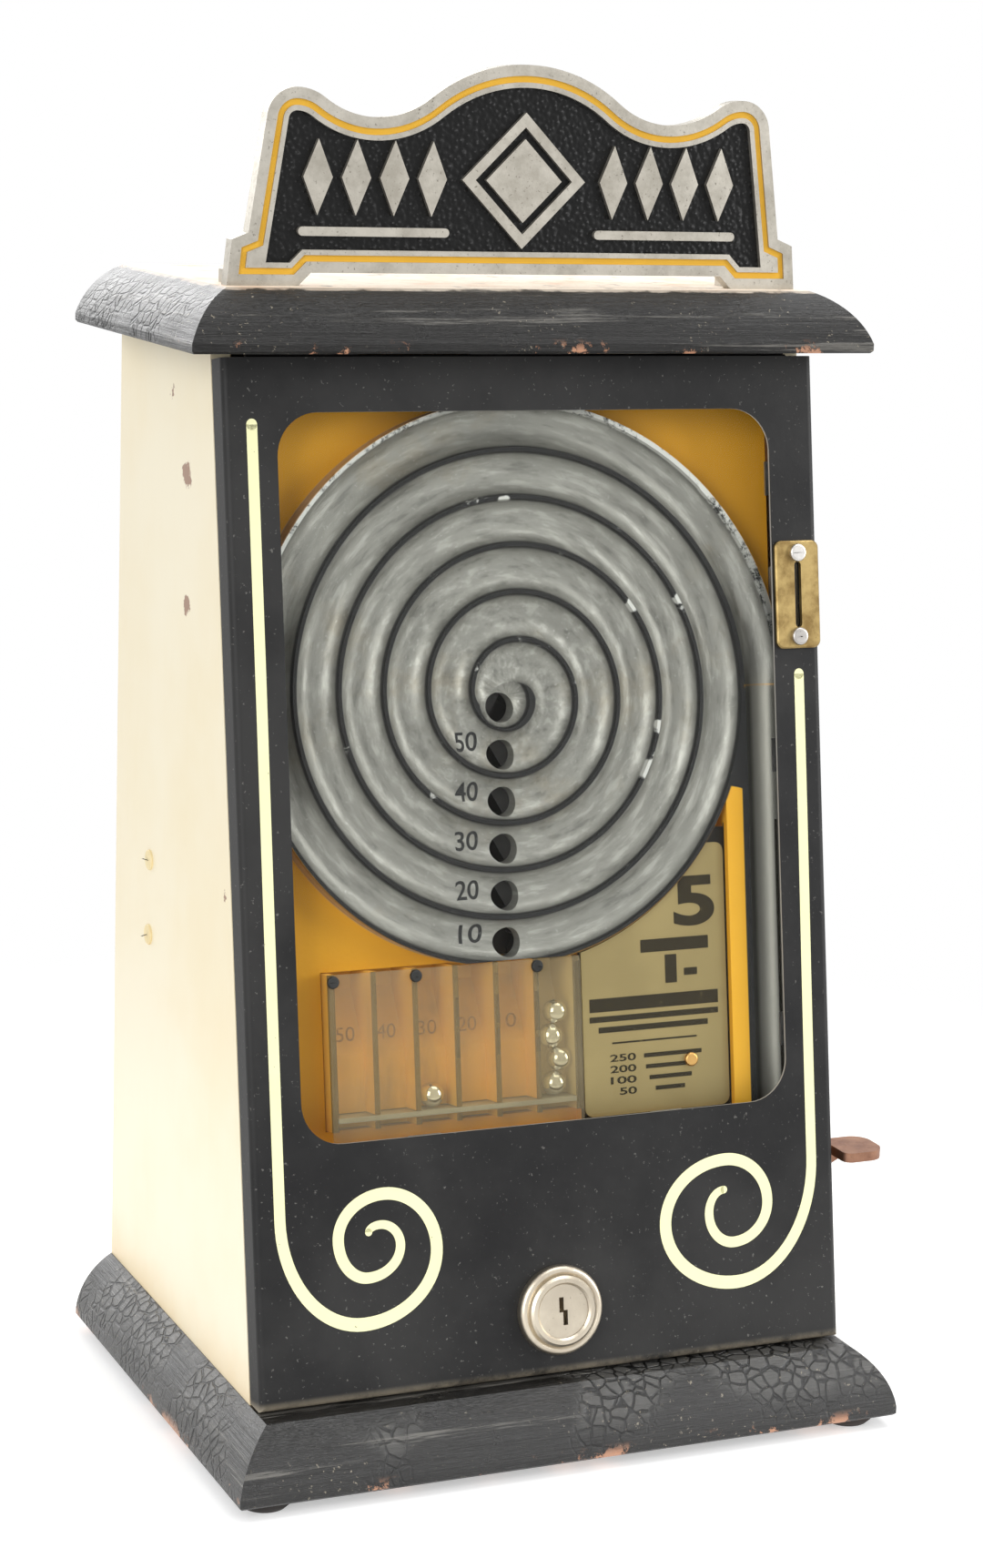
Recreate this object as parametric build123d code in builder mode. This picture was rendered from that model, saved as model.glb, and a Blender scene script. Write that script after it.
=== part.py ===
from build123d import *
import os
from math import cos, pi, radians, sin, sqrt, tan

# A counter-top penny game: a wooden cabinet with a sloping steel door, a cast spiral ball track
# behind glass, and a finger lever at the right that kicks the ball up the shooter lane.
# Millimetres, +Z up. The origin is on the table under the middle of the overall outline,
# X to the player's right, Y to the back.

# Cabinet
body_depth = 154.0
front_tilt = 9.6
side_board = 6.5
back_board_thickness = 6.5
base_height = 21.5
base_side_overhang = 12.75
base_front_overhang = 18.0
base_round = 12.5
top_thickness = 18.8
top_side_overhang = 14.4
top_front_overhang = 15.2
top_back_overhang = 5.0
top_round = 16.0
moulding_bulge = 2.6
plank_edge = 3.0
plank_chamfer = 0.8
foot_height = 4.0
foot_radius = 8.5
foot_inset = 12.0
corner_block = 14.0
corner_block_height = 60.0

# Sign on the top
sign_height = 68.6
sign_thickness = 5.0
sign_setback = 22.6
sign_lobe_x = 76.0
sign_lobe_height = 59.7
sign_valley_x = 50.0
sign_valley_height = 51.3
sign_arch_radius = 52.0
sign_lobe_radius = 9.7
sign_side_lean = 10.8
sign_shoulder_x = 90.9
sign_shoulder_height = 16.0
sign_ankle_x = 96.2
sign_foot_x = 97.6
sign_foot_height = 13.9
sign_foot_inner_x = 74.5
sign_belly_height = 4.0
sign_rim = 3.4
sign_groove = 2.0
sign_inner_line = 1.6
sign_groove_depth = 0.7
sign_field_depth = 1.6
sign_lug_depth = 13.0
sign_lug_width = 16.0
sign_lug_thickness = 4.0
sign_lug_x = 86.0
lozenge_radius = 21.0
lozenge_line = 4.5
lozenge_gap = 3.6
ornament_height = 33.0
ornament_start = 31.0
ornament_pitch = 12.6
ornament_half_width = 4.8
ornament_half_height = 11.5
ornament_count = 4
bar_length = 50.0
bar_width = 2.8
bar_height = 16.6

# Door
door_sheet = 1.0
door_flange = 9.5
door_bend = 2.2
door_gap = 0.8
window_side = 16.8
window_top_gap = 10.4
window_bottom = 82.0
window_corner = 13.5
glass_thickness = 3.0
glass_lap = 3.4
hinge_knuckle_radius = 1.8
hinge_leaf = 1.0
hinge_pin_radius = 0.9
hinge_end = 8.5
hinge_knuckles = 5
hinge_gap = 0.4
hinge_leaf_reach = 10.0
hinge_drop = 3.6
hinge_depth = 3.15
hinge_setback = 0.9
running_fit = 0.05
clip_width = 11.0
clip_sheet = 0.8
clip_foot = 5.0
clip_lap = 3.0

# Coin entry on the door
coin_plate_width = 16.0
coin_plate_height = 35.0
coin_plate_thickness = 1.5
coin_plate_corner = 2.5
coin_slot_width = 2.4
coin_slot_height = 21.4
coin_edge = 8.3
coin_drop = 60.6
coin_screw_pitch = 27.2
coin_screw_radius = 2.9
coin_screw_height = 1.4

# Lock
lock_s = 22.0
lock_bezel_radius = 14.4
lock_bezel_height = 4.6
lock_ring_radius = 11.4
lock_plug_radius = 8.6
lock_barrel_radius = 10.4
lock_barrel_length = 15.0
lock_nut_width = 25.0
lock_nut_thickness = 3.0
lock_cam_length = 16.0
lock_cam_width = 9.0
lock_cam_thickness = 2.0
key_height = 8.4
key_width = 1.3
keeper_height = 8.5
keeper_width = 26.0
keeper_sheet = 1.6

# Playfield casting, measured behind the door's outer face and along the slope
ridge_depth = 8.0
field_floor_depth = 15.0
field_back_depth = 18.0
field_side_gap = 0.4
field_top_gap = 8.57
field_bottom = 64.5
spiral_x = -4.9
spiral_pitch = 15.0
spiral_turns = 5.945
disc_lap = 2.8
disc_margin = 12.7
ridge_width = 1.2
track_depth = 5.4
lane_half_width = 6.2
lane_wall = 0.925
chute_space = 3.8
taper_steps = 4
taper_inset = 0.1
score_hole_radius = 4.8
score_hole_shift = -3.4
score_count = 5
pocket_shift_x = -3.5
pocket_shift_s = -1.8
pocket_half_width = 8.7
pocket_depth = 6.2
end_ease = 0.1
rib_width = 8.3
apron_top = 79.7
return_groove_radius = 4.6
return_groove_left = -68.0
return_slope = 1.5

# Score columns and the parts that carry the balls back
ball_radius = 4.0
column_count = 6
column_pitch = 13.95
column_wall = 1.6
column_left = -68.9
tray_wall = 2.2
tray_bottom = 84.0
tray_top = 133.5
tray_front_depth = 9.4
column_floor_depth = 17.9
tray_back_depth = 20.1
throat_floor_depth = 27.5
throat_back_depth = 30.0
ramp_drop = 6.5
ramp_height = 20.0
cover_thickness = 0.8
cover_bottom = 80.2
gate_thickness = 1.6
gate_s = 87.4
gate_clearance = 0.3
arm_play = 1.2
gate_tail_depth = 38.0
card_thickness = 0.8
card_pad_depth = 10.8
card_pad_top = 172.0
card_top = 167.0
card_corner = 3.0
card_gap = 0.9
runway_gap = 0.5
runway_thickness = 12.0
runway_groove_depth = 9.6
runway_groove_radius = 4.7
runway_fall = 30.0
runway_above = 4.0

# Cleats, screws
cleat_thickness = 10.0
cleat_width = 14.0
right_cleat_width = 20.0
lower_cleat = 75.5
upper_cleat = 32.0
screw_radius = 1.6
screw_head_radius = 3.0
screw_head_height = 1.6
screw_margin = 6.0
screw_clearance = 0.1

# Kick lever
lever_reach = 73.5
lever_pivot_z = 78.6
lever_rise = 3.0
lever_above_field = 7.0
lever_thickness = 3.0
lever_height = 8.0
lever_boss_radius = 5.2
lever_pin_radius = 2.5
lever_swing = 16.0
lever_gap = 0.5
paddle_gap = 3.9
paddle_length = 15.4
paddle_width = 17.0
paddle_thickness = 3.2
paddle_rise = 3.4
paddle_forward = 4.0
kicker_width = 6.0
kicker_gap = 0.4
bracket_sheet = 2.0
bracket_width = 14.0
bracket_foot = 16.0
lever_slot_width = 7.0
slot_over = 1.2
slot_under = 2.0
bracket_screw_x = 5.0
bracket_screw_y = 11.0
bumper_thickness = 3.4
bumper_width = 7.0
bumper_height = 7.0
spring_arm = 34.0
spring_radius = 4.5
spring_wire = 0.6
spring_turns = 7
spring_seat_gap = 0.3
seat_height = 2.0
seat_peg_radius = 3.2
seat_peg_height = 7.0

# Coin chute, coin trip and cash box
chute_sheet = 0.6
chute_gap = 2.2
chute_width = 23.4
chute_edge = 1.2
chute_mouth_depth = 3.0
chute_drop = 65.0
chute_bottom = 97.0
trip_arm = 19.5
trip_depth = 33.0
trip_shaft_radius = 2.0
trip_left = -20.0
trip_arm_x = -10.0
trip_arm_width = 7.0
trip_arm_thickness = 3.0
trip_pan_reach = 36.0
trip_pan_width = 13.0
trip_pan_thickness = 1.6
trip_collar_radius = 4.0
weight_radius = 4.6
weight_length = 30.0
weight_offset = 9.0
weight_inset = 61.0
weight_clamp = 6.0
hanger_sheet = 1.6
hanger_height = 12.0
hanger_width = 12.0
hanger_left_x = -16.5
hanger_inset = 33.0
box_left = -58.0
box_side_gap = 0.6
box_front_inset = 47.0
box_back_inset = 22.0
box_height = 36.0
box_sheet = 1.0

cover_corner = 1.5
cover_screw_radius = 2.0
cover_screw_drop = 2.2
cover_screw_height = 1.0
card_pin_radius = 2.3
card_pin_height = 1.3
card_pin_inset = 13.9
card_pin_rise = 15.9
ball_leans = (0.0, 0.95, -0.35, 0.55)
door_top_lap = 1.0
notch_depth = 3.0
door_leaf_height = 8.0
clip_gap = 0.4
clip_inset = 22.6
cam_gap = 0.5
lock_tail = 6.0
key_depth = 6.0
keeper_foot = 11.0
paddle_corner = 6.0
lever_pin_head = 1.6
chute_fall = 12.0
box_corner = 4.0
side_screw_inset = 37.0
side_screw_rises = (124.0, 149.3)
side_screw_radius = 3.4
side_screw_height = 0.8
back_screw_inset = 7.0
back_screw_ends = (14.0, 47.0)

os.makedirs("parts", exist_ok=True)

# The spiral sets the casting's size, and the casting sets the cabinet's width and height
tilt = radians(front_tilt)
track_half = (spiral_pitch - ridge_width) / 2
corner_step = spiral_pitch / 8
first_radius = spiral_turns * spiral_pitch - corner_step
first_inner = first_radius - track_half
lane_x = spiral_x + corner_step + first_inner + taper_inset * (taper_steps + 1) + lane_half_width
field_right = lane_x + lane_half_width + lane_wall
inner_half = field_right + chute_space
field_left = field_side_gap - inner_half
half_body = inner_half + side_board
body_width = 2 * half_body
spiral_s = tray_top + first_radius - disc_lap
field_top = spiral_s + first_radius + disc_margin
body_height = (field_top + field_top_gap) * cos(tilt)
window_width = body_width - 2 * window_side
window_top = field_top - window_top_gap
window_height = window_top - window_bottom
window_middle = window_bottom + window_height / 2
coin_x = half_body - coin_edge
coin_s = window_top - coin_drop

# Levels and planes
front_y = -(body_depth + top_back_overhang - base_front_overhang) / 2
back_y = front_y + body_depth
base_top = foot_height + base_height
board_under = base_top + body_height
board_top = board_under + top_thickness
front_top_y = front_y + body_height * tan(tilt)
inward = Vector(0, cos(tilt), -sin(tilt))
outward = Vector(0, -cos(tilt), sin(tilt))
upslope = Vector(0, sin(tilt), cos(tilt))
door_plane = Plane(origin=(0, front_y, base_top), x_dir=(1, 0, 0), z_dir=outward)


def layer(depth):
    """Plane parallel to the door, this far behind its outer face; it holds (x, distance up the slope)."""
    return door_plane.offset(-depth)


def section(x):
    """Plane across the door at this x; it holds (depth behind the door, distance up the slope)."""
    return Plane(origin=(x, front_y, base_top), x_dir=inward, z_dir=(1, 0, 0))


def place(x, s, depth):
    """Point at this x, this far up the slope and this deep behind the door's outer face."""
    return door_plane.from_local_coords((x, s, -depth))


def front_at(z, depth=0.0):
    """Y of the sloping layer at this depth where it crosses height z."""
    return front_y + (z - base_top) * tan(tilt) + depth / cos(tilt)


def save(part, name):
    """Label a finished piece and write it out under its own name."""
    part.label = name
    export_step(part, f"parts/{name}.step")


# Base and top planks: each is the overlap of its end view and its side view, so the moulded edge
# runs round the front and both ends with mitred corners and stops square at the back
def moulded_plank(width, front, back, bottom, thickness, run):
    half = width / 2
    top = bottom + thickness
    edge = bottom + plank_edge
    with BuildPart() as plank:
        with BuildSketch(Plane.XZ.offset(-back)):
            with BuildLine():
                Polyline(
                    (0, bottom),
                    (half - plank_chamfer, bottom),
                    (half, bottom + plank_chamfer),
                    (half, edge),
                )
                SagittaArc((half, edge), (half - run, top), -moulding_bulge)
                Line((half - run, top), (0, top))
                mirror(about=Plane.YZ)
            make_face()
        extrude(amount=back - front)
        with BuildSketch(Plane.YZ.offset(-half)):
            with BuildLine():
                Polyline(
                    (back, bottom),
                    (front + plank_chamfer, bottom),
                    (front, bottom + plank_chamfer),
                    (front, edge),
                )
                SagittaArc((front, edge), (front + run, top), moulding_bulge)
                Polyline((front + run, top), (back, top), (back, bottom))
            make_face()
        extrude(amount=width, mode=Mode.INTERSECT)
    return plank.part


base_width = body_width + 2 * base_side_overhang
base_front = front_y - base_front_overhang
save(
    moulded_plank(base_width, base_front, back_y, foot_height, base_height, base_round),
    "base_plank",
)
top_width = body_width + 2 * top_side_overhang
top_front = front_top_y - top_front_overhang
top_back = back_y + top_back_overhang
sign_face_y = top_front + sign_setback
save(
    moulded_plank(top_width, top_front, top_back, board_under, top_thickness, top_round),
    "top_plank",
)

# Four round glides under the corners of the base
foot_x = base_width / 2 - foot_inset
foot_rows = [base_front + foot_inset, back_y - foot_inset]
with BuildPart() as glide_feet:
    with BuildSketch():
        for y in foot_rows:
            with Locations((-foot_x, y), (foot_x, y)):
                Circle(foot_radius)
    extrude(amount=foot_height)
    chamfer(glide_feet.edges().filter_by(GeomType.CIRCLE).group_by(Axis.Z)[0], foot_height * 0.35)
save(glide_feet.part, "glide_feet")

# Side boards: upright boards whose front edge follows the slope just behind the door's flange
board_front_depth = door_flange + door_gap
ball_run_depth = ridge_depth + track_depth - ball_radius
lever_y = place(0, field_bottom + lever_above_field, ball_run_depth).Y
lever_line = lever_pivot_z + lever_rise
slot_top = lever_line + lever_height / 2 + slot_over
slot_bottom = lever_line - lever_reach * sin(radians(lever_swing)) - lever_height / 2 - slot_under
side_screw_y = back_y - side_screw_inset
side_screw_rows = [base_top + rise for rise in side_screw_rises]
trip_s = gate_s - trip_arm
trip_point = place(0, trip_s, trip_depth)
for side_name, side_x in (("left_side_board", -half_body), ("right_side_board", inner_half)):
    with BuildPart() as side:
        with BuildSketch(Plane.YZ.offset(side_x)):
            with BuildLine():
                Polyline(
                    (front_at(base_top, board_front_depth), base_top),
                    (back_y, base_top),
                    (back_y, board_under),
                    (front_at(board_under, board_front_depth), board_under),
                    close=True,
                )
            make_face()
        extrude(amount=side_board)
        with BuildSketch(Plane.YZ.offset(side_x)):
            with Locations(*[(side_screw_y, z) for z in side_screw_rows]):
                Circle(screw_radius + screw_clearance)
        extrude(amount=side_board, mode=Mode.SUBTRACT)
        if side_x > 0:
            with BuildSketch(Plane.YZ.offset(side_x)):
                with Locations((lever_y, (slot_top + slot_bottom) / 2)):
                    SlotOverall(slot_top - slot_bottom, lever_slot_width, rotation=90)
                with Locations((trip_point.Y, trip_point.Z)):
                    Circle(trip_shaft_radius + running_fit)
            extrude(amount=side_board, mode=Mode.SUBTRACT)
    save(side.part, side_name)

# Back board, let in between the side boards
back_screw_x = inner_half - back_screw_inset
back_screw_rows = [base_top + end for end in back_screw_ends]
back_screw_rows += [board_under - end for end in back_screw_ends]
with BuildPart() as back_panel:
    with BuildSketch(Plane.XZ.offset(-back_y)):
        with Locations((0, base_top + body_height / 2)):
            Rectangle(2 * inner_half, body_height)
        for x in (-back_screw_x, back_screw_x):
            with Locations(*[(x, z) for z in back_screw_rows]):
                Circle(screw_radius + screw_clearance, mode=Mode.SUBTRACT)
    extrude(amount=back_board_thickness)
save(back_panel.part, "back_board")

# Glue blocks up the two back corners
block_y = back_y - back_board_thickness
with BuildPart() as corner_blocks:
    for z in (base_top, board_under - corner_block_height):
        for sign in (-1, 1):
            with BuildSketch(Plane.XY.offset(z)):
                with BuildLine():
                    Polyline(
                        (sign * inner_half, block_y),
                        (sign * (inner_half - corner_block), block_y),
                        (sign * inner_half, block_y - corner_block),
                        close=True,
                    )
                make_face()
            extrude(amount=corner_block_height)
save(corner_blocks.part, "corner_blocks")

# Sign: a cast plate on two feet, with a rim, a painted groove and a sunken pebbled field.
# Its top line is an arch that runs through two hollows into two rounded shoulders.
arch_turn = 2 * Vector(sign_valley_x, sign_height - sign_valley_height).get_angle(Vector(1, 0))
valley_radius = sign_valley_x / sin(radians(arch_turn)) - sign_arch_radius
arch_end = (
    sign_arch_radius * sin(radians(arch_turn)),
    sign_height - sign_arch_radius * (1 - cos(radians(arch_turn))),
)
valley_point = (sign_valley_x, sign_valley_height)
lobe_run = sign_lobe_x - sign_valley_x
lobe_turn = 2 * Vector(lobe_run, sign_lobe_height - sign_valley_height).get_angle(Vector(1, 0))
rise_end = (
    sign_valley_x + valley_radius * sin(radians(lobe_turn)),
    sign_valley_height + valley_radius * (1 - cos(radians(lobe_turn))),
)
lobe_top = (sign_lobe_x, sign_lobe_height)
lean = radians(sign_side_lean)
lobe_end = (
    sign_lobe_x + sign_lobe_radius * cos(lean),
    sign_lobe_height - sign_lobe_radius * (1 - sin(lean)),
)


def sign_outline():
    """Half of the sign's outline from the top of the arch to the middle of its lower edge, mirrored."""
    with BuildSketch(mode=Mode.PRIVATE) as outline:
        with BuildLine():
            arch = TangentArc((0, sign_height), arch_end, tangent=(1, 0))
            hollow = TangentArc(arch @ 1, valley_point, tangent=arch % 1)
            rise = TangentArc(hollow @ 1, rise_end, tangent=hollow % 1)
            shoulder = TangentArc(rise @ 1, lobe_top, tangent=rise % 1)
            corner = TangentArc(shoulder @ 1, lobe_end, tangent=shoulder % 1)
            Polyline(
                corner @ 1,
                (sign_shoulder_x, sign_shoulder_height),
                (sign_ankle_x, sign_foot_height),
                (sign_foot_x, 0),
                (sign_foot_inner_x, 0),
                (sign_foot_inner_x - sign_belly_height, sign_belly_height),
                (0, sign_belly_height),
            )
            mirror(about=Plane.YZ)
        make_face()
    return outline.sketch


outline_face = sign_outline()
groove_outer = offset(outline_face, -sign_rim, kind=Kind.INTERSECTION)
groove_inner = offset(outline_face, -sign_rim - sign_groove, kind=Kind.INTERSECTION)
sign_border = sign_rim + sign_groove + sign_inner_line
field_face = offset(outline_face, -sign_border, kind=Kind.INTERSECTION)
side_lean = (sign_shoulder_x - lobe_end[0]) / (lobe_end[1] - sign_shoulder_height)
side_inset = sign_border * sqrt(1 + side_lean**2)
field_top_x = lobe_end[0] - side_lean * (sign_height - lobe_end[1]) - side_inset
field_low_x = lobe_end[0] + side_lean * lobe_end[1] - side_inset
sign_plane = Plane(origin=(0, sign_face_y, board_top), x_dir=(1, 0, 0), z_dir=(0, -1, 0))
with BuildPart() as sign:
    with BuildSketch(sign_plane.offset(-sign_thickness)):
        add(outline_face)
    extrude(amount=sign_thickness)
    with BuildSketch(sign_plane):
        add(groove_outer)
        add(groove_inner, mode=Mode.SUBTRACT)
    extrude(amount=-sign_groove_depth, mode=Mode.SUBTRACT)
    # The sunken field stays between the leaning sides, also down at the feet
    with BuildSketch(sign_plane):
        add(field_face)
        with BuildLine():
            Polyline(
                (-field_low_x, 0),
                (field_low_x, 0),
                (field_top_x, sign_height),
                (-field_top_x, sign_height),
                close=True,
            )
        make_face(mode=Mode.INTERSECT)
    extrude(amount=-sign_field_depth, mode=Mode.SUBTRACT)
    # Raised ornament: a large lozenge in a lozenge frame, four tall lozenges and a bar on each side
    with BuildSketch(sign_plane.offset(-sign_field_depth)):
        with Locations((0, ornament_height)):
            RegularPolygon(lozenge_radius, 4)
            RegularPolygon(lozenge_radius - lozenge_line, 4, mode=Mode.SUBTRACT)
            RegularPolygon(lozenge_radius - lozenge_line - lozenge_gap, 4)
        for sign_of_x in (-1, 1):
            for n in range(ornament_count):
                with Locations((sign_of_x * (ornament_start + n * ornament_pitch), ornament_height)):
                    Polygon(
                        (0, ornament_half_height),
                        (ornament_half_width, 0),
                        (0, -ornament_half_height),
                        (-ornament_half_width, 0),
                        align=(Align.CENTER, Align.CENTER),
                    )
            bar_middle = ornament_start + (ornament_count - 1) * ornament_pitch / 2
            with Locations((sign_of_x * bar_middle, bar_height)):
                SlotOverall(bar_length, bar_width)
    extrude(amount=sign_field_depth)
    # Screw lugs behind the feet
    with BuildSketch(Plane.XY.offset(board_top)):
        for sign_of_x in (-1, 1):
            with Locations((sign_of_x * sign_lug_x, sign_face_y + sign_thickness + sign_lug_depth / 2)):
                Rectangle(sign_lug_width, sign_lug_depth)
    extrude(amount=sign_lug_thickness)
    lug_hole_y = sign_face_y + sign_thickness + sign_lug_depth * 0.55
    with Locations(
        (-sign_lug_x, lug_hole_y, board_top + sign_lug_thickness),
        (sign_lug_x, lug_hole_y, board_top + sign_lug_thickness),
    ):
        Hole(screw_radius + screw_clearance, depth=sign_lug_thickness)
save(sign.part, "marquee_casting")


def screw(plane, length, head_radius=screw_head_radius, head_height=screw_head_height):
    """Round-head screw whose head sits on this plane and whose shank runs down behind it."""
    with BuildPart() as one:
        with BuildSketch(plane):
            Circle(head_radius)
        extrude(amount=head_height)
        rim_edges = one.edges().filter_by(GeomType.CIRCLE).sort_by(Axis(plane.origin, plane.z_dir))
        fillet(rim_edges[-1], head_height * 0.6)
        with BuildSketch(plane):
            Circle(screw_radius)
        extrude(amount=-length)
    return one.part


with BuildPart() as marquee_screws:
    for x in (-sign_lug_x, sign_lug_x):
        lug_top = Plane(origin=(x, lug_hole_y, board_top + sign_lug_thickness))
        add(screw(lug_top, sign_lug_thickness))
save(marquee_screws.part, "marquee_screws")

# Playfield casting: a plate with a raised spiral track, a shooter lane, a rib and a lower apron.
# The track's ball groove is half round. Its middle line is drawn with quarter arcs about the four
# corners of a small square, so each turn lies one pitch inside the last.
corners = [(1, -1), (1, 1), (-1, 1), (-1, -1)]
lane_top = spiral_s - corner_step
rib_left = lane_x - lane_half_width - rib_width
field_mid = ((field_left + field_right) / 2, (field_bottom + field_top) / 2)
ridge_height = field_floor_depth - ridge_depth
tray_left = column_left - tray_wall
tray_right = column_left + column_count * column_pitch - column_wall + tray_wall


def arc_centre(quarter):
    """Centre of the track's quarter arc with this number, counted from the shooter lane."""
    cx, cs = corners[quarter % 4]
    return (spiral_x + cx * corner_step, spiral_s + cs * corner_step)


def arc_radius(quarter):
    """Radius of the middle line of the track on this quarter arc."""
    return first_radius - quarter * spiral_pitch / 4


def groove_radius(half_width, depth=track_depth):
    """Radius of the round groove that is this deep and this wide at the ridge tops."""
    return (half_width**2 + depth**2) / (2 * depth)


def ring_plane(quarter, turn):
    """Plane across the track, through the arc's centre, turned this many degrees from the lane."""
    centre = arc_centre(quarter)
    radial = Vector(cos(radians(turn)), sin(radians(turn)) * upslope.Y, sin(radians(turn)) * upslope.Z)
    along = radial.cross(outward)
    return Plane(origin=place(*centre, ridge_depth), x_dir=radial, z_dir=along)


plate_thickness = field_back_depth - field_floor_depth
plate_screws = [
    (field_left + screw_margin, field_top - screw_margin),
    (field_left + screw_margin, apron_top + screw_margin),
    (field_right - screw_margin, field_top - screw_margin),
]
card_left = tray_right + card_gap
card_right = rib_left - card_gap
card_bottom = apron_top + card_gap
card_pin_point = (card_right - card_pin_inset, card_bottom + card_pin_rise)
cover_screw_points = [
    (column_left + column_pitch * n - column_wall / 2, tray_top - cover_screw_drop) for n in (0, 2, 5)
]
coin_screw_points = [(coin_x, coin_s - coin_screw_pitch / 2), (coin_x, coin_s + coin_screw_pitch / 2)]
lever_pivot_x = half_body - lever_reach
bracket_screw_points = [
    (lever_pivot_x - bracket_screw_x, lever_y + bracket_screw_y),
    (lever_pivot_x + bracket_screw_x, lever_y + bracket_screw_y),
]
score_x = spiral_x + score_hole_shift
score_rows = [spiral_s - (0.25 + n) * spiral_pitch for n in range(score_count + 1)]
return_right = lane_x
return_left_s = apron_top - return_groove_radius
return_right_s = return_left_s - (return_right - return_groove_left) * tan(radians(return_slope))
rim = track_half + ridge_width
# The track runs in until its middle line would turn more sharply than its groove is wide
quarter_count = int((first_radius - groove_radius(track_half)) / (spiral_pitch / 4)) + 1
with BuildPart() as playfield:
    with BuildSketch(layer(field_back_depth)):
        with Locations(field_mid):
            Rectangle(field_right - field_left, field_top - field_bottom)
    extrude(amount=field_back_depth - field_floor_depth)
    with BuildSketch(layer(field_floor_depth)):
        with BuildLine():
            for quarter in range(4):
                CenterArc(arc_centre(quarter), arc_radius(quarter) + rim, 90 * quarter, 90)
            Line(
                (arc_centre(3)[0] + arc_radius(3) + rim, arc_centre(3)[1]),
                (arc_centre(0)[0] + arc_radius(0) + rim, arc_centre(0)[1]),
            )
        make_face()
        with Locations(((rib_left + field_right) / 2, (field_bottom + lane_top) / 2)):
            Rectangle(field_right - rib_left, lane_top - field_bottom)
        with Locations((field_mid[0], (field_bottom + apron_top) / 2)):
            Rectangle(field_right - field_left, apron_top - field_bottom)
        with Locations(field_mid):
            Rectangle(field_right - field_left, field_top - field_bottom, mode=Mode.INTERSECT)
    extrude(amount=ridge_height)
    # Pad under the card
    with BuildSketch(layer(field_floor_depth)):
        with Locations(((tray_right + rib_left) / 2, (apron_top + card_pad_top) / 2)):
            Rectangle(rib_left - tray_right, card_pad_top - apron_top)
    extrude(amount=field_floor_depth - card_pad_depth)
    # Shooter lane
    lane_radius = groove_radius(lane_half_width)
    lane_start = place(lane_x, field_bottom, ridge_depth)
    with BuildSketch(Plane(origin=lane_start, x_dir=(1, 0, 0), z_dir=upslope)):
        with Locations((0, track_depth - lane_radius)):
            Circle(lane_radius)
    extrude(amount=lane_top - field_bottom, mode=Mode.SUBTRACT)
    # First quarter turn, opening from the lane's width to the track's
    step_turn = 90 / taper_steps
    for step in range(taper_steps):
        step_half = lane_half_width + (track_half - lane_half_width) * (step + 0.5) / taper_steps
        step_radius = groove_radius(step_half)
        with BuildSketch(ring_plane(0, step * step_turn)):
            step_middle = first_inner + taper_inset * (taper_steps - step) + step_half
            with Locations((step_middle, step_radius - track_depth)):
                Circle(step_radius)
        revolve(
            axis=Axis(place(*arc_centre(0), ridge_depth), outward),
            revolution_arc=step_turn,
            mode=Mode.SUBTRACT,
        )
    # The rest of the spiral in one sweep, with a round end
    track_radius = groove_radius(track_half)
    with BuildLine(layer(ridge_depth)) as track:
        for quarter in range(1, quarter_count):
            CenterArc(arc_centre(quarter), arc_radius(quarter), 90 * quarter, 90)
    with BuildSketch(ring_plane(1, 90)):
        with Locations((arc_radius(1), track_radius - track_depth)):
            Circle(track_radius)
    sweep(path=track.wires()[0], mode=Mode.SUBTRACT)
    with Locations(track.wires()[0] @ 1 + outward * (track_radius - track_depth)):
        Sphere(track_radius + end_ease, mode=Mode.SUBTRACT)
    # Pocket round the last hole
    pocket_radius = groove_radius(pocket_half_width, pocket_depth)
    pocket_x = spiral_x + pocket_shift_x
    pocket_s = spiral_s + pocket_shift_s
    with Locations(place(pocket_x, pocket_s, ridge_depth + pocket_depth - pocket_radius)):
        Sphere(pocket_radius, mode=Mode.SUBTRACT)
    # Score holes, one in the bottom of each turn
    with BuildSketch(layer(ridge_depth)):
        with Locations(*[(score_x, s) for s in score_rows]):
            Circle(score_hole_radius)
    extrude(amount=-(field_back_depth - ridge_depth), mode=Mode.SUBTRACT)
    # Opening for the score columns
    with BuildSketch(layer(ridge_depth)):
        with Locations(((tray_left + tray_right) / 2, (tray_bottom + tray_top) / 2)):
            Rectangle(
                tray_right - tray_left + 2 * gate_clearance,
                tray_top - tray_bottom + 2 * gate_clearance,
            )
    extrude(amount=-(field_back_depth - ridge_depth), mode=Mode.SUBTRACT)
    # Holes for the screws and the card's rivet
    with BuildSketch(layer(ridge_depth)):
        with Locations(*plate_screws, card_pin_point):
            Circle(screw_radius + screw_clearance)
    extrude(amount=-(field_back_depth - ridge_depth), mode=Mode.SUBTRACT)
    # Return groove under the columns, falling to the lane, and the way down into it
    groove_run = tray_right - tray_wall - return_groove_left
    return_left = place(return_groove_left, return_left_s, ridge_depth)
    return_right_point = place(return_right, return_right_s, ridge_depth)
    with BuildSketch(Plane(origin=return_left, z_dir=return_right_point - return_left)):
        Circle(return_groove_radius)
    extrude(amount=(return_right_point - return_left).length, mode=Mode.SUBTRACT)
    with BuildSketch(layer(ridge_depth)):
        with BuildLine():
            Polyline(
                (return_groove_left, apron_top),
                (return_groove_left, return_left_s),
                (tray_right - tray_wall, return_left_s - groove_run * tan(radians(return_slope))),
                (tray_right - tray_wall, apron_top),
                close=True,
            )
        make_face()
    extrude(amount=-return_groove_radius, mode=Mode.SUBTRACT)
save(playfield.part, "playfield_casting")

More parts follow.
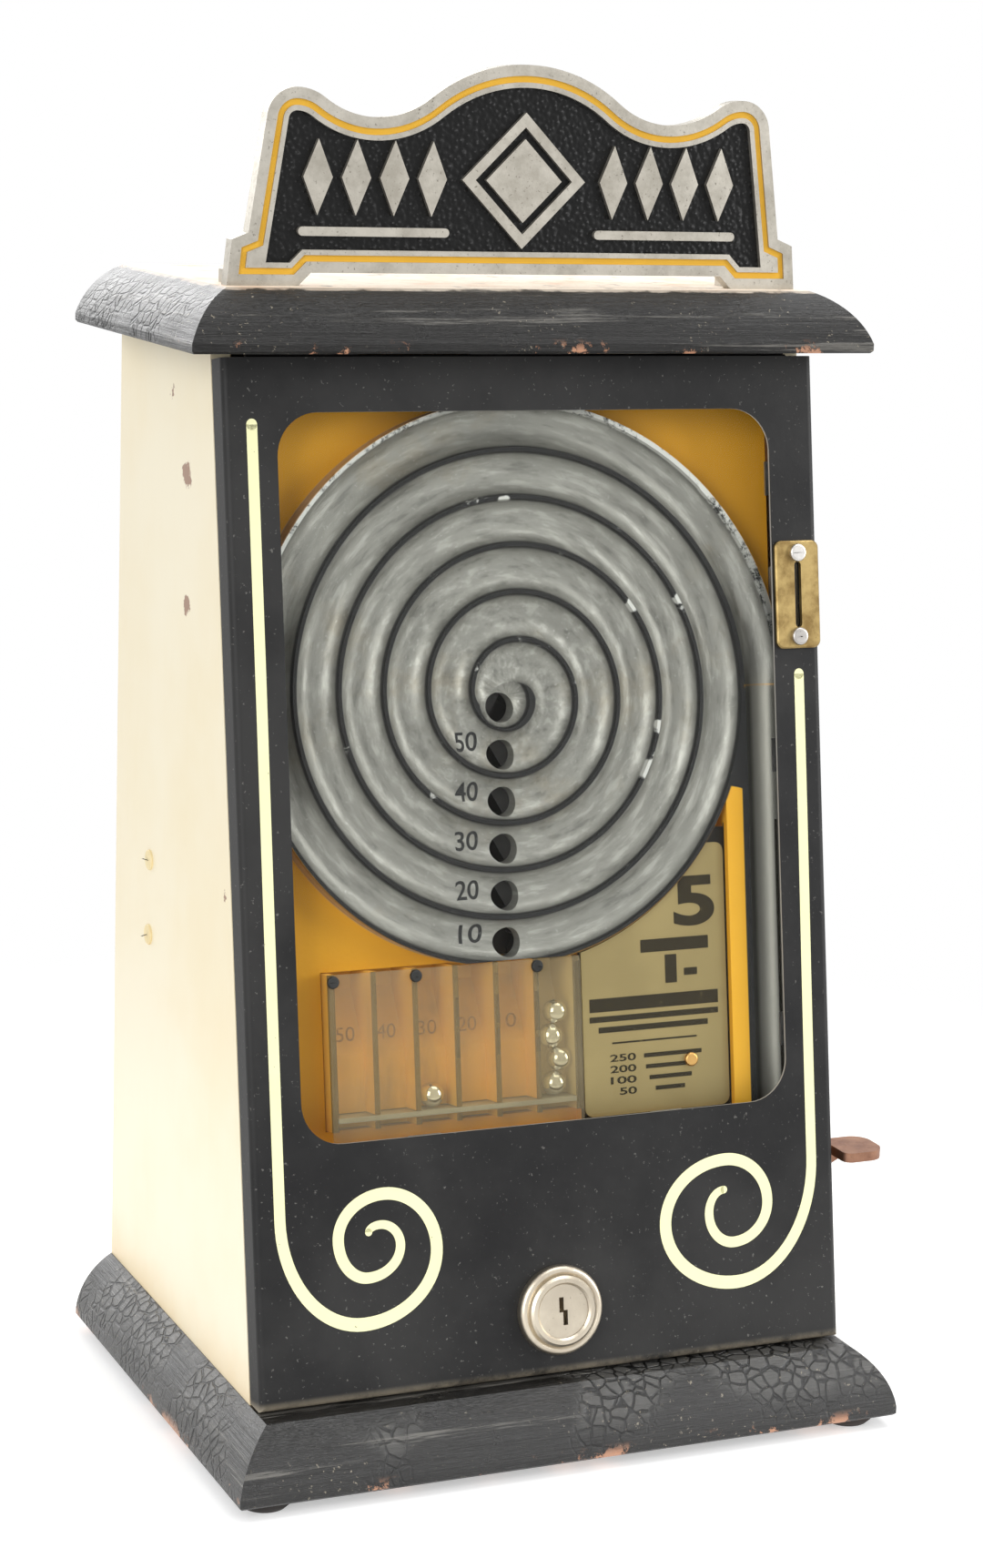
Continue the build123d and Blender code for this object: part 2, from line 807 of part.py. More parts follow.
# Cleats on the side boards that carry the casting
with BuildPart() as left_cleat:
    with BuildSketch(layer(field_back_depth)):
        with Locations(((-inner_half + cleat_width / 2), (field_bottom + field_top) / 2)):
            Rectangle(cleat_width, field_top - field_bottom)
    extrude(amount=-cleat_thickness)
save(left_cleat.part, "left_cleat")
with BuildPart() as right_cleats:
    with BuildSketch(layer(field_back_depth)):
        for low, high in ((field_bottom, field_bottom + lower_cleat), (field_top - upper_cleat, field_top)):
            with Locations((inner_half - right_cleat_width / 2, (low + high) / 2)):
                Rectangle(right_cleat_width, high - low)
    extrude(amount=-cleat_thickness)
save(right_cleats.part, "right_cleats")

# Screws that hold the casting's plate to the cleats
with BuildPart() as playfield_screws:
    for x, s in plate_screws:
        add(screw(layer(field_floor_depth).shift_origin(place(x, s, field_floor_depth)), plate_thickness))
save(playfield_screws.part, "playfield_screws")

# Ball runway: a board behind the casting with a groove from each score hole to its own column.
# The middle hole goes right to the last column; the others go left, the higher the farther.
column_width = column_pitch - column_wall
column_x = [column_left + column_width / 2 + n * column_pitch for n in range(column_count)]
runway_bottom = tray_top + runway_gap
runway_top = spiral_s + runway_above
with BuildPart() as runway:
    with BuildSketch(layer(field_back_depth)):
        with Locations(((tray_left + tray_right) / 2, (runway_bottom + runway_top) / 2)):
            Rectangle(tray_right - tray_left, runway_top - runway_bottom)
    extrude(amount=-runway_thickness)
    with BuildSketch(layer(field_back_depth)):
        for row, s in enumerate(score_rows):
            target = column_x[row - 1] if row else column_x[-1]
            fall_s = s - abs(target - score_x) * tan(radians(runway_fall))
            with BuildLine():
                Polyline((score_x, s), (target, fall_s), (target, runway_bottom - runway_groove_radius))
            trace(line_width=2 * runway_groove_radius)
    extrude(amount=-runway_groove_depth, mode=Mode.SUBTRACT)
save(runway.part, "ball_runway")

# Score columns: a block with six upright channels, open at the top behind the casting, where a
# ramp brings each ball forward, and open at the bottom over the return groove
ramp_top = tray_top - ramp_drop
ramp_bottom = ramp_top - ramp_height
with BuildPart() as tray:
    with BuildSketch(section(tray_left)):
        with BuildLine():
            Polyline(
                (tray_front_depth, tray_bottom),
                (tray_front_depth, tray_top),
                (throat_back_depth, tray_top),
                (throat_back_depth, ramp_top - 3 * column_wall),
                (tray_back_depth, ramp_bottom - 3 * column_wall),
                (tray_back_depth, tray_bottom),
                close=True,
            )
        make_face()
    extrude(amount=tray_right - tray_left)
    for x in column_x:
        with BuildSketch(section(x - column_width / 2)):
            with BuildLine():
                Polyline(
                    (tray_front_depth, tray_bottom),
                    (tray_front_depth, tray_top),
                    (throat_floor_depth, tray_top),
                    (throat_floor_depth, ramp_top),
                    (column_floor_depth, ramp_bottom),
                    (column_floor_depth, tray_bottom),
                    close=True,
                )
            make_face()
        extrude(amount=column_width, mode=Mode.SUBTRACT)
    with BuildSketch(section(column_left - gate_clearance)):
        with Locations(((tray_front_depth + tray_back_depth) / 2, gate_s)):
            Rectangle(tray_back_depth - tray_front_depth, gate_thickness + 2 * gate_clearance)
    extrude(amount=column_count * column_pitch - column_wall + 2 * gate_clearance, mode=Mode.SUBTRACT)
save(tray.part, "column_tray")

# Clear cover in front of the columns
with BuildPart() as cover:
    with BuildSketch(layer(tray_front_depth)):
        with Locations(((tray_left + tray_right) / 2, (cover_bottom + tray_top) / 2)):
            RectangleRounded(tray_right - tray_left, tray_top - cover_bottom, cover_corner)
        with Locations(*cover_screw_points):
            Circle(screw_radius + screw_clearance, mode=Mode.SUBTRACT)
    extrude(amount=cover_thickness)
save(cover.part, "column_cover")
with BuildPart() as cover_screws:
    cover_front = tray_front_depth - cover_thickness
    for x, s in cover_screw_points:
        head_plane = layer(cover_front).shift_origin(place(x, s, cover_front))
        add(screw(head_plane, cover_thickness, cover_screw_radius, cover_screw_height))
save(cover_screws.part, "cover_screws")

# Ball gate: the shelf under the columns, drawn back to let the balls go
gate_left = column_left
gate_right = column_left + column_count * column_pitch - column_wall
with BuildPart() as gate:
    with BuildSketch(section(gate_left)):
        with Locations(((tray_front_depth + gate_clearance + gate_tail_depth) / 2, gate_s)):
            Rectangle(gate_tail_depth - tray_front_depth - gate_clearance, gate_thickness)
    extrude(amount=gate_right - gate_left)
    with BuildSketch(section(trip_arm_x - trip_arm_width / 2 - 2 * gate_clearance)):
        with Locations((trip_depth, gate_s)):
            Rectangle(trip_arm_thickness + 2 * arm_play, gate_thickness)
    extrude(amount=trip_arm_width + 4 * gate_clearance, mode=Mode.SUBTRACT)
save(gate.part, "ball_gate")

# Instruction card, a thin brass plate that lies on the casting's pad against the track's wall
with BuildPart() as card:
    with BuildSketch(layer(card_pad_depth)):
        with Locations(((card_left + card_right) / 2, (card_bottom + card_top) / 2)):
            RectangleRounded(card_right - card_left, card_top - card_bottom, card_corner)
        with Locations(arc_centre(3)):
            Circle(arc_radius(3) + rim + card_gap, mode=Mode.SUBTRACT)
        with Locations(card_pin_point):
            Circle(screw_radius + screw_clearance, mode=Mode.SUBTRACT)
    extrude(amount=card_thickness)
save(card.part, "instruction_card")
card_front = card_pad_depth - card_thickness
with BuildPart() as card_pin:
    pin_plane = layer(card_front).shift_origin(place(*card_pin_point, card_front))
    add(screw(pin_plane, card_thickness, card_pin_radius, card_pin_height))
save(card_pin.part, "card_rivet")

# Steel balls: one in the third column and four in the last, zigzag as they fell
ball_floor = gate_s + gate_thickness / 2 + gate_clearance + ball_radius
ball_depth = column_floor_depth - ball_radius - running_fit
ball_play = column_width / 2 - ball_radius - running_fit
with BuildPart() as balls:
    ball_s = ball_floor
    stack = [(column_x[2] - 0.4 * ball_play, ball_s)]
    last_x = column_x[-1] - 0.2 * ball_play
    for lean_side in ball_leans:
        ball_x = column_x[-1] + lean_side * ball_play
        if lean_side:
            ball_s += sqrt((2 * ball_radius + running_fit) ** 2 - (ball_x - last_x) ** 2)
        stack.append((ball_x, ball_s))
        last_x = ball_x
    for x, s in stack:
        with Locations(place(x, s, ball_depth)):
            Sphere(ball_radius)
save(balls.part, "steel_balls")

# Door: a sheet folded back along its sides and its bottom, with the window and two openings
hinge_s = (body_height - hinge_drop + hinge_depth * sin(tilt)) / cos(tilt)
door_top = hinge_s + door_top_lap
with BuildPart() as door:
    with BuildSketch(section(-half_body)):
        with BuildLine():
            Polyline(
                (0, door_gap),
                (0, door_top),
                (door_flange, door_top),
                (door_flange, door_gap + door_flange * tan(tilt)),
                close=True,
            )
        make_face()
    extrude(amount=body_width)
    face_edges = door.faces().sort_by(Axis((0, 0, 0), outward))[-1].edges()
    fillet(face_edges.sort_by(Axis((0, 0, 0), upslope))[:-1], door_bend)
    back_face = door.faces().sort_by(Axis((0, 0, 0), outward))[0]
    top_face = door.faces().sort_by(Axis((0, 0, 0), upslope))[-1]
    offset(amount=-door_sheet, openings=[back_face, top_face])
    with BuildSketch(Plane.YZ.offset(half_body - door_sheet)):
        with Locations((front_at(slot_top, door_flange) - notch_depth / 2, (slot_top + slot_bottom) / 2)):
            Rectangle(2 * notch_depth, slot_top - slot_bottom)
    extrude(amount=door_sheet, mode=Mode.SUBTRACT)
    with BuildSketch(layer(0)):
        with Locations((0, window_middle)):
            RectangleRounded(window_width, window_height, window_corner)
        with Locations((coin_x, coin_s)):
            SlotOverall(coin_slot_height, coin_slot_width, rotation=90)
        with Locations(*coin_screw_points):
            Circle(screw_radius + screw_clearance)
        with Locations((0, lock_s)):
            Circle(lock_barrel_radius + running_fit)
    extrude(amount=-door_sheet, mode=Mode.SUBTRACT)
save(door.part, "door_panel")

# Window glass behind the door sheet, and the six clips that hold it
glass_half = window_width / 2 + glass_lap
glass_low = window_bottom - glass_lap
glass_high = window_top + glass_lap
glass_back = door_sheet + glass_thickness
with BuildPart() as glass:
    with BuildSketch(layer(glass_back)):
        with Locations((0, (glass_low + glass_high) / 2)):
            Rectangle(2 * glass_half, glass_high - glass_low)
    extrude(amount=glass_thickness)
save(glass.part, "window_glass")


def across(s):
    """Plane square to the slope at this distance up it; it holds (x, depth behind the door)."""
    return Plane(origin=place(0, s, 0), x_dir=(1, 0, 0), z_dir=upslope)


def clip_profile(edge, away):
    """Outline of a clip that grips the glass at this edge; away is +1 or -1, pointing off the glass."""
    step = edge + away * clip_gap
    wall = step + away * clip_sheet
    toe = step + away * clip_foot
    tip = edge - away * clip_lap
    return [
        (toe, door_sheet),
        (toe, door_sheet + clip_sheet),
        (wall, door_sheet + clip_sheet),
        (wall, glass_back + clip_sheet),
        (tip, glass_back + clip_sheet),
        (tip, glass_back),
        (step, glass_back),
        (step, door_sheet),
    ]


with BuildPart() as clips:
    for s in (window_bottom + clip_inset, window_middle, window_top - clip_inset):
        for away in (-1, 1):
            with BuildSketch(across(s - clip_width / 2)):
                with BuildLine():
                    Polyline(*clip_profile(away * glass_half, away), close=True)
                make_face()
            extrude(amount=clip_width)
    for x in (-window_width / 4, window_width / 4):
        with BuildSketch(section(x - clip_width / 2)):
            with BuildLine():
                Polyline(*[(d, s) for s, d in clip_profile(glass_low, -1)], close=True)
            make_face()
        extrude(amount=clip_width)
save(clips.part, "glass_clips")

# Hinge along the top of the door: two leaves with alternate knuckles on one pin
hinge_length = body_width - 2 * hinge_end
knuckle_pitch = hinge_length / hinge_knuckles
hinge_point = place(0, hinge_s, hinge_depth)
leaf_front_y = hinge_point.Y + hinge_setback
web_thickness = hinge_knuckle_radius - hinge_setback
for leaf_name, first in (("hinge_leaf_top", 0), ("hinge_leaf_door", 1)):
    with BuildPart() as leaf:
        if first == 0:
            with BuildSketch(Plane.YZ.offset(-hinge_length / 2)):
                with Locations((leaf_front_y + hinge_leaf_reach / 2, board_under - hinge_leaf / 2)):
                    Rectangle(hinge_leaf_reach, hinge_leaf)
            extrude(amount=hinge_length)
        else:
            with BuildSketch(layer(door_sheet + hinge_leaf)):
                with Locations((0, hinge_s - hinge_knuckle_radius - hinge_gap - door_leaf_height / 2)):
                    Rectangle(hinge_length, door_leaf_height)
            extrude(amount=hinge_leaf)
        for n in range(first, hinge_knuckles, 2):
            start = -hinge_length / 2 + n * knuckle_pitch + hinge_gap / 2
            with BuildSketch(section(start)):
                with Locations((hinge_depth, hinge_s)):
                    Circle(hinge_knuckle_radius)
                if first:
                    with Locations((door_sheet + hinge_leaf / 2, hinge_s - hinge_knuckle_radius)):
                        Rectangle(hinge_leaf, 2 * hinge_knuckle_radius)
            extrude(amount=knuckle_pitch - hinge_gap)
            if first == 0:
                with BuildSketch(Plane.YZ.offset(start)):
                    with Locations((leaf_front_y + web_thickness / 2, (hinge_point.Z + board_under) / 2)):
                        Rectangle(web_thickness, board_under - hinge_point.Z)
                extrude(amount=knuckle_pitch - hinge_gap)
        with BuildSketch(section(-hinge_length / 2)):
            with Locations((hinge_depth, hinge_s)):
                Circle(hinge_pin_radius + running_fit)
        extrude(amount=hinge_length, mode=Mode.SUBTRACT)
    save(leaf.part, leaf_name)
with BuildPart() as hinge_pin:
    with BuildSketch(section(-hinge_length / 2)):
        with Locations((hinge_depth, hinge_s)):
            Circle(hinge_pin_radius)
    extrude(amount=hinge_length)
save(hinge_pin.part, "hinge_pin")

# Coin plate on the door with its slot and two screws
with BuildPart() as coin_plate:
    with BuildSketch(layer(0)):
        with Locations((coin_x, coin_s)):
            RectangleRounded(coin_plate_width, coin_plate_height, coin_plate_corner)
            SlotOverall(coin_slot_height, coin_slot_width, rotation=90, mode=Mode.SUBTRACT)
        with Locations(*coin_screw_points):
            Circle(screw_radius + screw_clearance, mode=Mode.SUBTRACT)
    extrude(amount=coin_plate_thickness)
    plate_face = coin_plate.faces().sort_by(Axis((0, 0, 0), outward))[-1]
    chamfer(plate_face.outer_wire().edges(), coin_plate_thickness / 3)
save(coin_plate.part, "coin_plate")
with BuildPart() as coin_screws:
    for x, s in coin_screw_points:
        head_plane = layer(-coin_plate_thickness).shift_origin(place(x, s, -coin_plate_thickness))
        add(screw(head_plane, coin_plate_thickness + door_sheet, coin_screw_radius, coin_screw_height))
save(coin_screws.part, "coin_plate_screws")

# Lock: a turned bezel and barrel fixed in the door, a plug with a keyway, and a cam on its tail
lock_axis_plane = Plane(origin=place(0, lock_s, 0), x_dir=(1, 0, 0), z_dir=-upslope)
with BuildPart() as bezel:
    with BuildSketch(lock_axis_plane):
        with BuildLine():
            Polyline(
                (lock_plug_radius + running_fit, lock_barrel_length * -1),
                (lock_barrel_radius, -lock_barrel_length),
                (lock_barrel_radius, 0),
                (lock_bezel_radius, 0),
                (lock_bezel_radius, lock_bezel_height * 0.35),
            )
            dome = ThreePointArc(
                (lock_bezel_radius, lock_bezel_height * 0.35),
                (lock_bezel_radius - 0.6, lock_bezel_height * 0.62),
                (lock_bezel_radius - 1.9, lock_bezel_height * 0.72),
            )
            Polyline(
                dome @ 1,
                (lock_ring_radius + 0.3, lock_bezel_height * 0.62),
                (lock_ring_radius, lock_bezel_height * 0.85),
                (lock_ring_radius - 0.8, lock_bezel_height),
                (lock_plug_radius + 0.7, lock_bezel_height),
                (lock_plug_radius + running_fit, lock_bezel_height * 0.86),
                (lock_plug_radius + running_fit, -lock_barrel_length),
            )
        make_face()
    revolve(axis=Axis(place(0, lock_s, 0), outward))
save(bezel.part, "lock_bezel")
with BuildPart() as lock_nut:
    with BuildSketch(layer(door_sheet)):
        with Locations((0, lock_s)):
            RegularPolygon(lock_nut_width / 2, 6, major_radius=False)
            Circle(lock_barrel_radius + running_fit, mode=Mode.SUBTRACT)
    extrude(amount=-lock_nut_thickness)
save(lock_nut.part, "lock_nut")
plug_face = -lock_bezel_height * 0.8
cam_depth = lock_barrel_length + cam_gap
with BuildPart() as plug:
    with BuildSketch(layer(lock_barrel_length)):
        with Locations((0, lock_s)):
            Circle(lock_plug_radius)
    extrude(amount=lock_barrel_length - plug_face)
    with BuildSketch(layer(lock_barrel_length)):
        with Locations((0, lock_s)):
            Rectangle(lock_tail, lock_tail)
    extrude(amount=-(cam_gap + lock_cam_thickness))
    with BuildSketch(layer(plug_face)):
        with Locations((-key_width / 2, lock_s + key_height / 4), (key_width / 2, lock_s - key_height / 4)):
            Rectangle(key_width * 1.2, key_height / 2 + key_width / 2)
    extrude(amount=-key_depth, mode=Mode.SUBTRACT)
save(plug.part, "lock_plug")
with BuildPart() as cam:
    with BuildSketch(layer(cam_depth)):
        with Locations((-(lock_cam_length - lock_cam_width / 2) / 2, lock_s)):
            SlotOverall(lock_cam_length + lock_cam_width / 2, lock_cam_width)
        with Locations((0, lock_s)):
            Rectangle(lock_tail + 2 * running_fit, lock_tail + 2 * running_fit, mode=Mode.SUBTRACT)
    extrude(amount=-lock_cam_thickness)
save(cam.part, "lock_cam")
keeper_back = front_at(base_top, cam_depth) - gate_clearance * 2
keeper_front = keeper_back - keeper_sheet
with BuildPart() as keeper:
    with BuildSketch(Plane.YZ.offset(-keeper_width / 2)):
        with BuildLine():
            Polyline(
                (keeper_back, base_top + keeper_height),
                (keeper_front, base_top + keeper_height),
                (keeper_front, base_top),
                (keeper_front + keeper_foot, base_top),
                (keeper_front + keeper_foot, base_top + keeper_sheet),
                (keeper_back, base_top + keeper_sheet),
                close=True,
            )
        make_face()
    extrude(amount=keeper_width)
save(keeper.part, "lock_keeper")

# Kick lever: an upright blade on a cross pin, with a kicker under the lane and a finger paddle
# outside the right side board
lever_front = lever_y - lever_thickness / 2
lever_back = lever_y + lever_thickness / 2
kick_point = place(lane_x, return_right_s, ball_run_depth)
kicker_top = kick_point.Z - ball_radius - kicker_gap
blade_half = lever_height / 2
paddle_start = half_body + paddle_gap
paddle_end = paddle_start + paddle_length
with BuildPart() as lever:
    with BuildSketch(Plane.XZ.offset(-lever_back)):
        with BuildLine():
            Polyline(
                (lever_pivot_x, lever_line - blade_half),
                (paddle_start - blade_half, lever_line - blade_half),
                (paddle_start + 2 * blade_half, lever_line + blade_half / 2),
                (paddle_start + 2 * blade_half, lever_line + blade_half),
                (lever_pivot_x, lever_line + blade_half),
                close=True,
            )
        make_face()
        with Locations((lever_pivot_x, lever_pivot_z)):
            Circle(lever_boss_radius)
        with Locations((lane_x, (lever_line + kicker_top) / 2)):
            Rectangle(kicker_width, kicker_top - lever_line)
        with Locations((lever_pivot_x, lever_pivot_z)):
            Circle(lever_pin_radius + running_fit, mode=Mode.SUBTRACT)
    extrude(amount=lever_thickness)
    with BuildSketch(Plane.XY.offset(lever_line + paddle_rise - paddle_thickness / 2)) as paddle:
        with Locations(((paddle_start + paddle_end) / 2, lever_y - paddle_forward)):
            Rectangle(paddle_end - paddle_start, paddle_width)
        fillet(paddle.vertices().group_by(Axis.X)[-1], paddle_corner)
        fillet(paddle.vertices().group_by(Axis.X)[0], paddle_corner / 2)
    extrude(amount=paddle_thickness)
save(lever.part, "kick_lever")

# Lever bracket, its pivot pin and screws
bracket_front = lever_back + lever_gap
bracket_back = bracket_front + bracket_sheet
with BuildPart() as bracket:
    with BuildSketch(Plane.XZ.offset(-bracket_back)):
        with Locations((lever_pivot_x, (base_top + lever_pivot_z) / 2)):
            Rectangle(bracket_width, lever_pivot_z - base_top)
        with Locations((lever_pivot_x, lever_pivot_z)):
            Circle(bracket_width / 2)
            Circle(lever_pin_radius + running_fit, mode=Mode.SUBTRACT)
    extrude(amount=bracket_sheet)
    with BuildSketch(Plane.XY.offset(base_top)):
        with Locations((lever_pivot_x, bracket_front + bracket_foot / 2)):
            Rectangle(bracket_width, bracket_foot)
        with Locations(*bracket_screw_points):
            Circle(screw_radius + screw_clearance, mode=Mode.SUBTRACT)
    extrude(amount=bracket_sheet)
save(bracket.part, "lever_bracket")
with BuildPart() as bracket_screws:
    for x, y in bracket_screw_points:
        add(screw(Plane(origin=(x, y, base_top + bracket_sheet)), bracket_sheet))
save(bracket_screws.part, "bracket_screws")
with BuildPart() as lever_pin:
    with BuildSketch(Plane.XZ.offset(-bracket_back)):
        with Locations((lever_pivot_x, lever_pivot_z)):
            Circle(lever_pin_radius)
    extrude(amount=bracket_back - lever_front + lever_gap)
    with BuildSketch(Plane.XZ.offset(-lever_front + lever_gap)):
        with Locations((lever_pivot_x, lever_pivot_z)):
            Circle(lever_pin_radius * 1.6)
    extrude(amount=lever_pin_head)
save(lever_pin.part, "lever_pin")

# Felt stop over the lever on the right side board
blade_top = lever_line + blade_half
with BuildPart() as bumper:
    with BuildSketch(Plane.YZ.offset(inner_half - bumper_thickness)):
        with Locations((lever_y, blade_top + kicker_gap + bumper_height / 2)):
            Rectangle(bumper_width, bumper_height)
    extrude(amount=bumper_thickness)
save(bumper.part, "lever_stop")

# Return spring under the lever and the seat it stands on
spring_x = lever_pivot_x + spring_arm
seat_top = base_top + seat_height
spring_low = seat_top + spring_seat_gap + spring_wire
spring_high = lever_line - blade_half - spring_seat_gap - spring_wire
spring_pitch = (spring_high - spring_low) / spring_turns
with BuildPart() as seat:
    with BuildSketch(Plane.XY.offset(base_top)):
        with Locations((spring_x, lever_y)):
            Circle(spring_radius + 3 * spring_wire)
    extrude(amount=seat_height)
    with BuildSketch(Plane.XY.offset(seat_top)):
        with Locations((spring_x, lever_y)):
            Circle(seat_peg_radius)
    extrude(amount=seat_peg_height)
save(seat.part, "spring_seat")


def spring_point(quarter):
    """Point of the coil's middle line after this many quarter turns."""
    return Vector(
        spring_x + spring_radius * cos(quarter * pi / 2),
        lever_y + spring_radius * sin(quarter * pi / 2),
        spring_low + quarter * spring_pitch / 4,
    )


# Each quarter turn is a flat arc; with this starting slope every arc meets the next without a kink
coil_slope = spring_pitch / (8 * spring_radius)
with BuildPart() as spring:
    with BuildLine() as coil:
        arc = TangentArc(spring_point(0), spring_point(1), tangent=(0, 1, coil_slope))
        for quarter in range(1, 4 * spring_turns):
            arc = TangentArc(arc @ 1, spring_point(quarter + 1), tangent=arc % 1)
    with BuildSketch(Plane(origin=spring_point(0), z_dir=(0, 1, coil_slope))):
        Circle(spring_wire)
    sweep(path=coil.wires()[0])
save(spring.part, "lever_spring")
coil_points = [coil.wires()[0] @ (n / 400) for n in range(401)]
turn_points = 400 // spring_turns
coil_gap = min(
    (coil_points[a] - coil_points[b]).length
    for a in range(401)
    for b in range(a + turn_points // 2, 401)
) - 2 * spring_wire
print("least gap between the spring's turns", round(coil_gap, 2))

# Coin chute on the right side board, from behind the coin slot back and then straight down
mouth_top = place(0, coin_s + chute_width / 2, chute_mouth_depth)
mouth_low = place(0, coin_s - chute_width / 2, chute_mouth_depth)
chute_drop_y = front_y + chute_drop
drop_front = chute_drop_y - chute_width / 2
drop_back = chute_drop_y + chute_width / 2
chute_left = inner_half - 2 * chute_sheet - chute_gap
with BuildPart() as chute:
    with BuildSketch(Plane.YZ.offset(chute_left)):
        with BuildLine():
            Polyline(
                (mouth_top.Y, mouth_top.Z),
                (drop_back, mouth_top.Z - chute_fall),
                (drop_back, chute_bottom),
                (drop_front, chute_bottom),
                (drop_front, mouth_low.Z - chute_fall),
                (mouth_low.Y, mouth_low.Z),
                close=True,
            )
        make_face()
    extrude(amount=2 * chute_sheet + chute_gap)
    with BuildSketch(Plane.YZ.offset(chute_left + chute_sheet)):
        with BuildLine():
            Polyline(
                (mouth_top.Y - chute_edge, mouth_top.Z - chute_edge),
                (drop_back - chute_edge, mouth_top.Z - chute_fall - chute_edge),
                (drop_back - chute_edge, chute_bottom - chute_edge),
                (drop_front + chute_edge, chute_bottom - chute_edge),
                (drop_front + chute_edge, mouth_low.Z - chute_fall + chute_edge),
                (mouth_low.Y - chute_edge, mouth_low.Z + chute_edge),
                close=True,
            )
        make_face()
    extrude(amount=chute_gap, mode=Mode.SUBTRACT)
save(chute.part, "coin_chute")

# Coin trip: a rocking shaft with a pan under the chute and an arm up through the gate's slot
with BuildPart() as trip_shaft:
    with BuildSketch(section(trip_left)):
        with Locations((trip_depth, trip_s)):
            Circle(trip_shaft_radius)
    extrude(amount=inner_half + side_board / 2 - trip_left)
save(trip_shaft.part, "trip_shaft")
with BuildPart() as gate_arm:
    with BuildSketch(section(trip_arm_x - trip_arm_width / 2)):
        with Locations((trip_depth, trip_s)):
            Circle(trip_collar_radius)
        with Locations((trip_depth, (trip_s + gate_s + gate_thickness * 2) / 2)):
            Rectangle(trip_arm_thickness, gate_s + gate_thickness * 2 - trip_s)
        with Locations((trip_depth, trip_s)):
            Circle(trip_shaft_radius + running_fit / 2, mode=Mode.SUBTRACT)
    extrude(amount=trip_arm_width)
save(gate_arm.part, "gate_arm")
with BuildPart() as pan:
    with BuildSketch(section(inner_half - gate_clearance - trip_pan_width)):
        with Locations((trip_depth, trip_s)):
            Circle(trip_collar_radius)
        with Locations((trip_depth + trip_pan_reach / 2, trip_s)):
            Rectangle(trip_pan_reach, trip_pan_thickness)
        with Locations((trip_depth, trip_s)):
            Circle(trip_shaft_radius + running_fit / 2, mode=Mode.SUBTRACT)
    extrude(amount=trip_pan_width)
save(pan.part, "coin_pan")
weight_x = inner_half - weight_inset
with BuildPart() as weight:
    with BuildSketch(section(weight_x - weight_length / 2)):
        with Locations((trip_depth - weight_offset, trip_s)):
            Circle(weight_radius)
    extrude(amount=weight_length)
    with BuildSketch(section(weight_x - weight_clamp / 2)):
        with Locations((trip_depth - weight_offset / 2, trip_s)):
            Rectangle(weight_offset, trip_arm_thickness)
        with Locations((trip_depth, trip_s)):
            Circle(trip_collar_radius)
    extrude(amount=weight_clamp)
    with BuildSketch(section(weight_x - weight_clamp / 2)):
        with Locations((trip_depth, trip_s)):
            Circle(trip_shaft_radius + running_fit / 2)
    extrude(amount=weight_clamp, mode=Mode.SUBTRACT)
save(weight.part, "trip_weight")
with BuildPart() as hangers:
    for x, foot_side in ((hanger_left_x, -1), (inner_half - hanger_inset, 1)):
        with BuildSketch(section(x)):
            with BuildLine():
                Polyline(
                    (field_back_depth, field_bottom),
                    (field_back_depth, field_bottom + hanger_height),
                    (trip_depth, trip_s + trip_collar_radius),
                    (trip_depth + trip_collar_radius, trip_s + trip_shaft_radius),
                    (trip_depth + trip_collar_radius, trip_s - trip_shaft_radius),
                    (trip_depth, trip_s - trip_collar_radius),
                    close=True,
                )
            make_face()
            with Locations((trip_depth, trip_s)):
                Circle(trip_shaft_radius + running_fit, mode=Mode.SUBTRACT)
        extrude(amount=hanger_sheet)
        with BuildSketch(layer(field_back_depth)):
            foot_middle = x + hanger_sheet / 2 + foot_side * hanger_width / 2
            with Locations((foot_middle, field_bottom + hanger_height / 2)):
                Rectangle(hanger_width, hanger_height)
        extrude(amount=-hanger_sheet)
save(hangers.part, "trip_hangers")

# Cash box, an open tin that stands on the base plank
box_right = inner_half - box_side_gap
box_front = front_y + box_front_inset
box_back = back_y - box_back_inset
with BuildPart() as cash_box:
    with BuildSketch(Plane.XY.offset(base_top)):
        with Locations(((box_left + box_right) / 2, (box_front + box_back) / 2)):
            RectangleRounded(box_right - box_left, box_back - box_front, box_corner)
    extrude(amount=box_height)
    offset(amount=-box_sheet, openings=cash_box.faces().sort_by(Axis.Z)[-1:])
save(cash_box.part, "cash_box")

# Screws seen on the outside: two in each side board, and eight round the back board
with BuildPart() as side_screws:
    for x, normal in ((-half_body, -1), (half_body, 1)):
        for z in side_screw_rows:
            side_plane = Plane(origin=(x, side_screw_y, z), x_dir=(0, 1, 0), z_dir=(normal, 0, 0))
            add(screw(side_plane, side_board * 0.8, side_screw_radius, side_screw_height))
save(side_screws.part, "side_screws")
with BuildPart() as back_screws:
    for x in (-back_screw_x, back_screw_x):
        for z in back_screw_rows:
            back_plane = Plane(origin=(x, back_y, z), x_dir=(1, 0, 0), z_dir=(0, 1, 0))
            add(screw(back_plane, back_board_thickness * 0.8))
save(back_screws.part, "back_screws")
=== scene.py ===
import math
from functools import cached_property
import bmesh
import bpy
from mathutils import Matrix, Vector
from mathutils.bvhtree import BVHTree


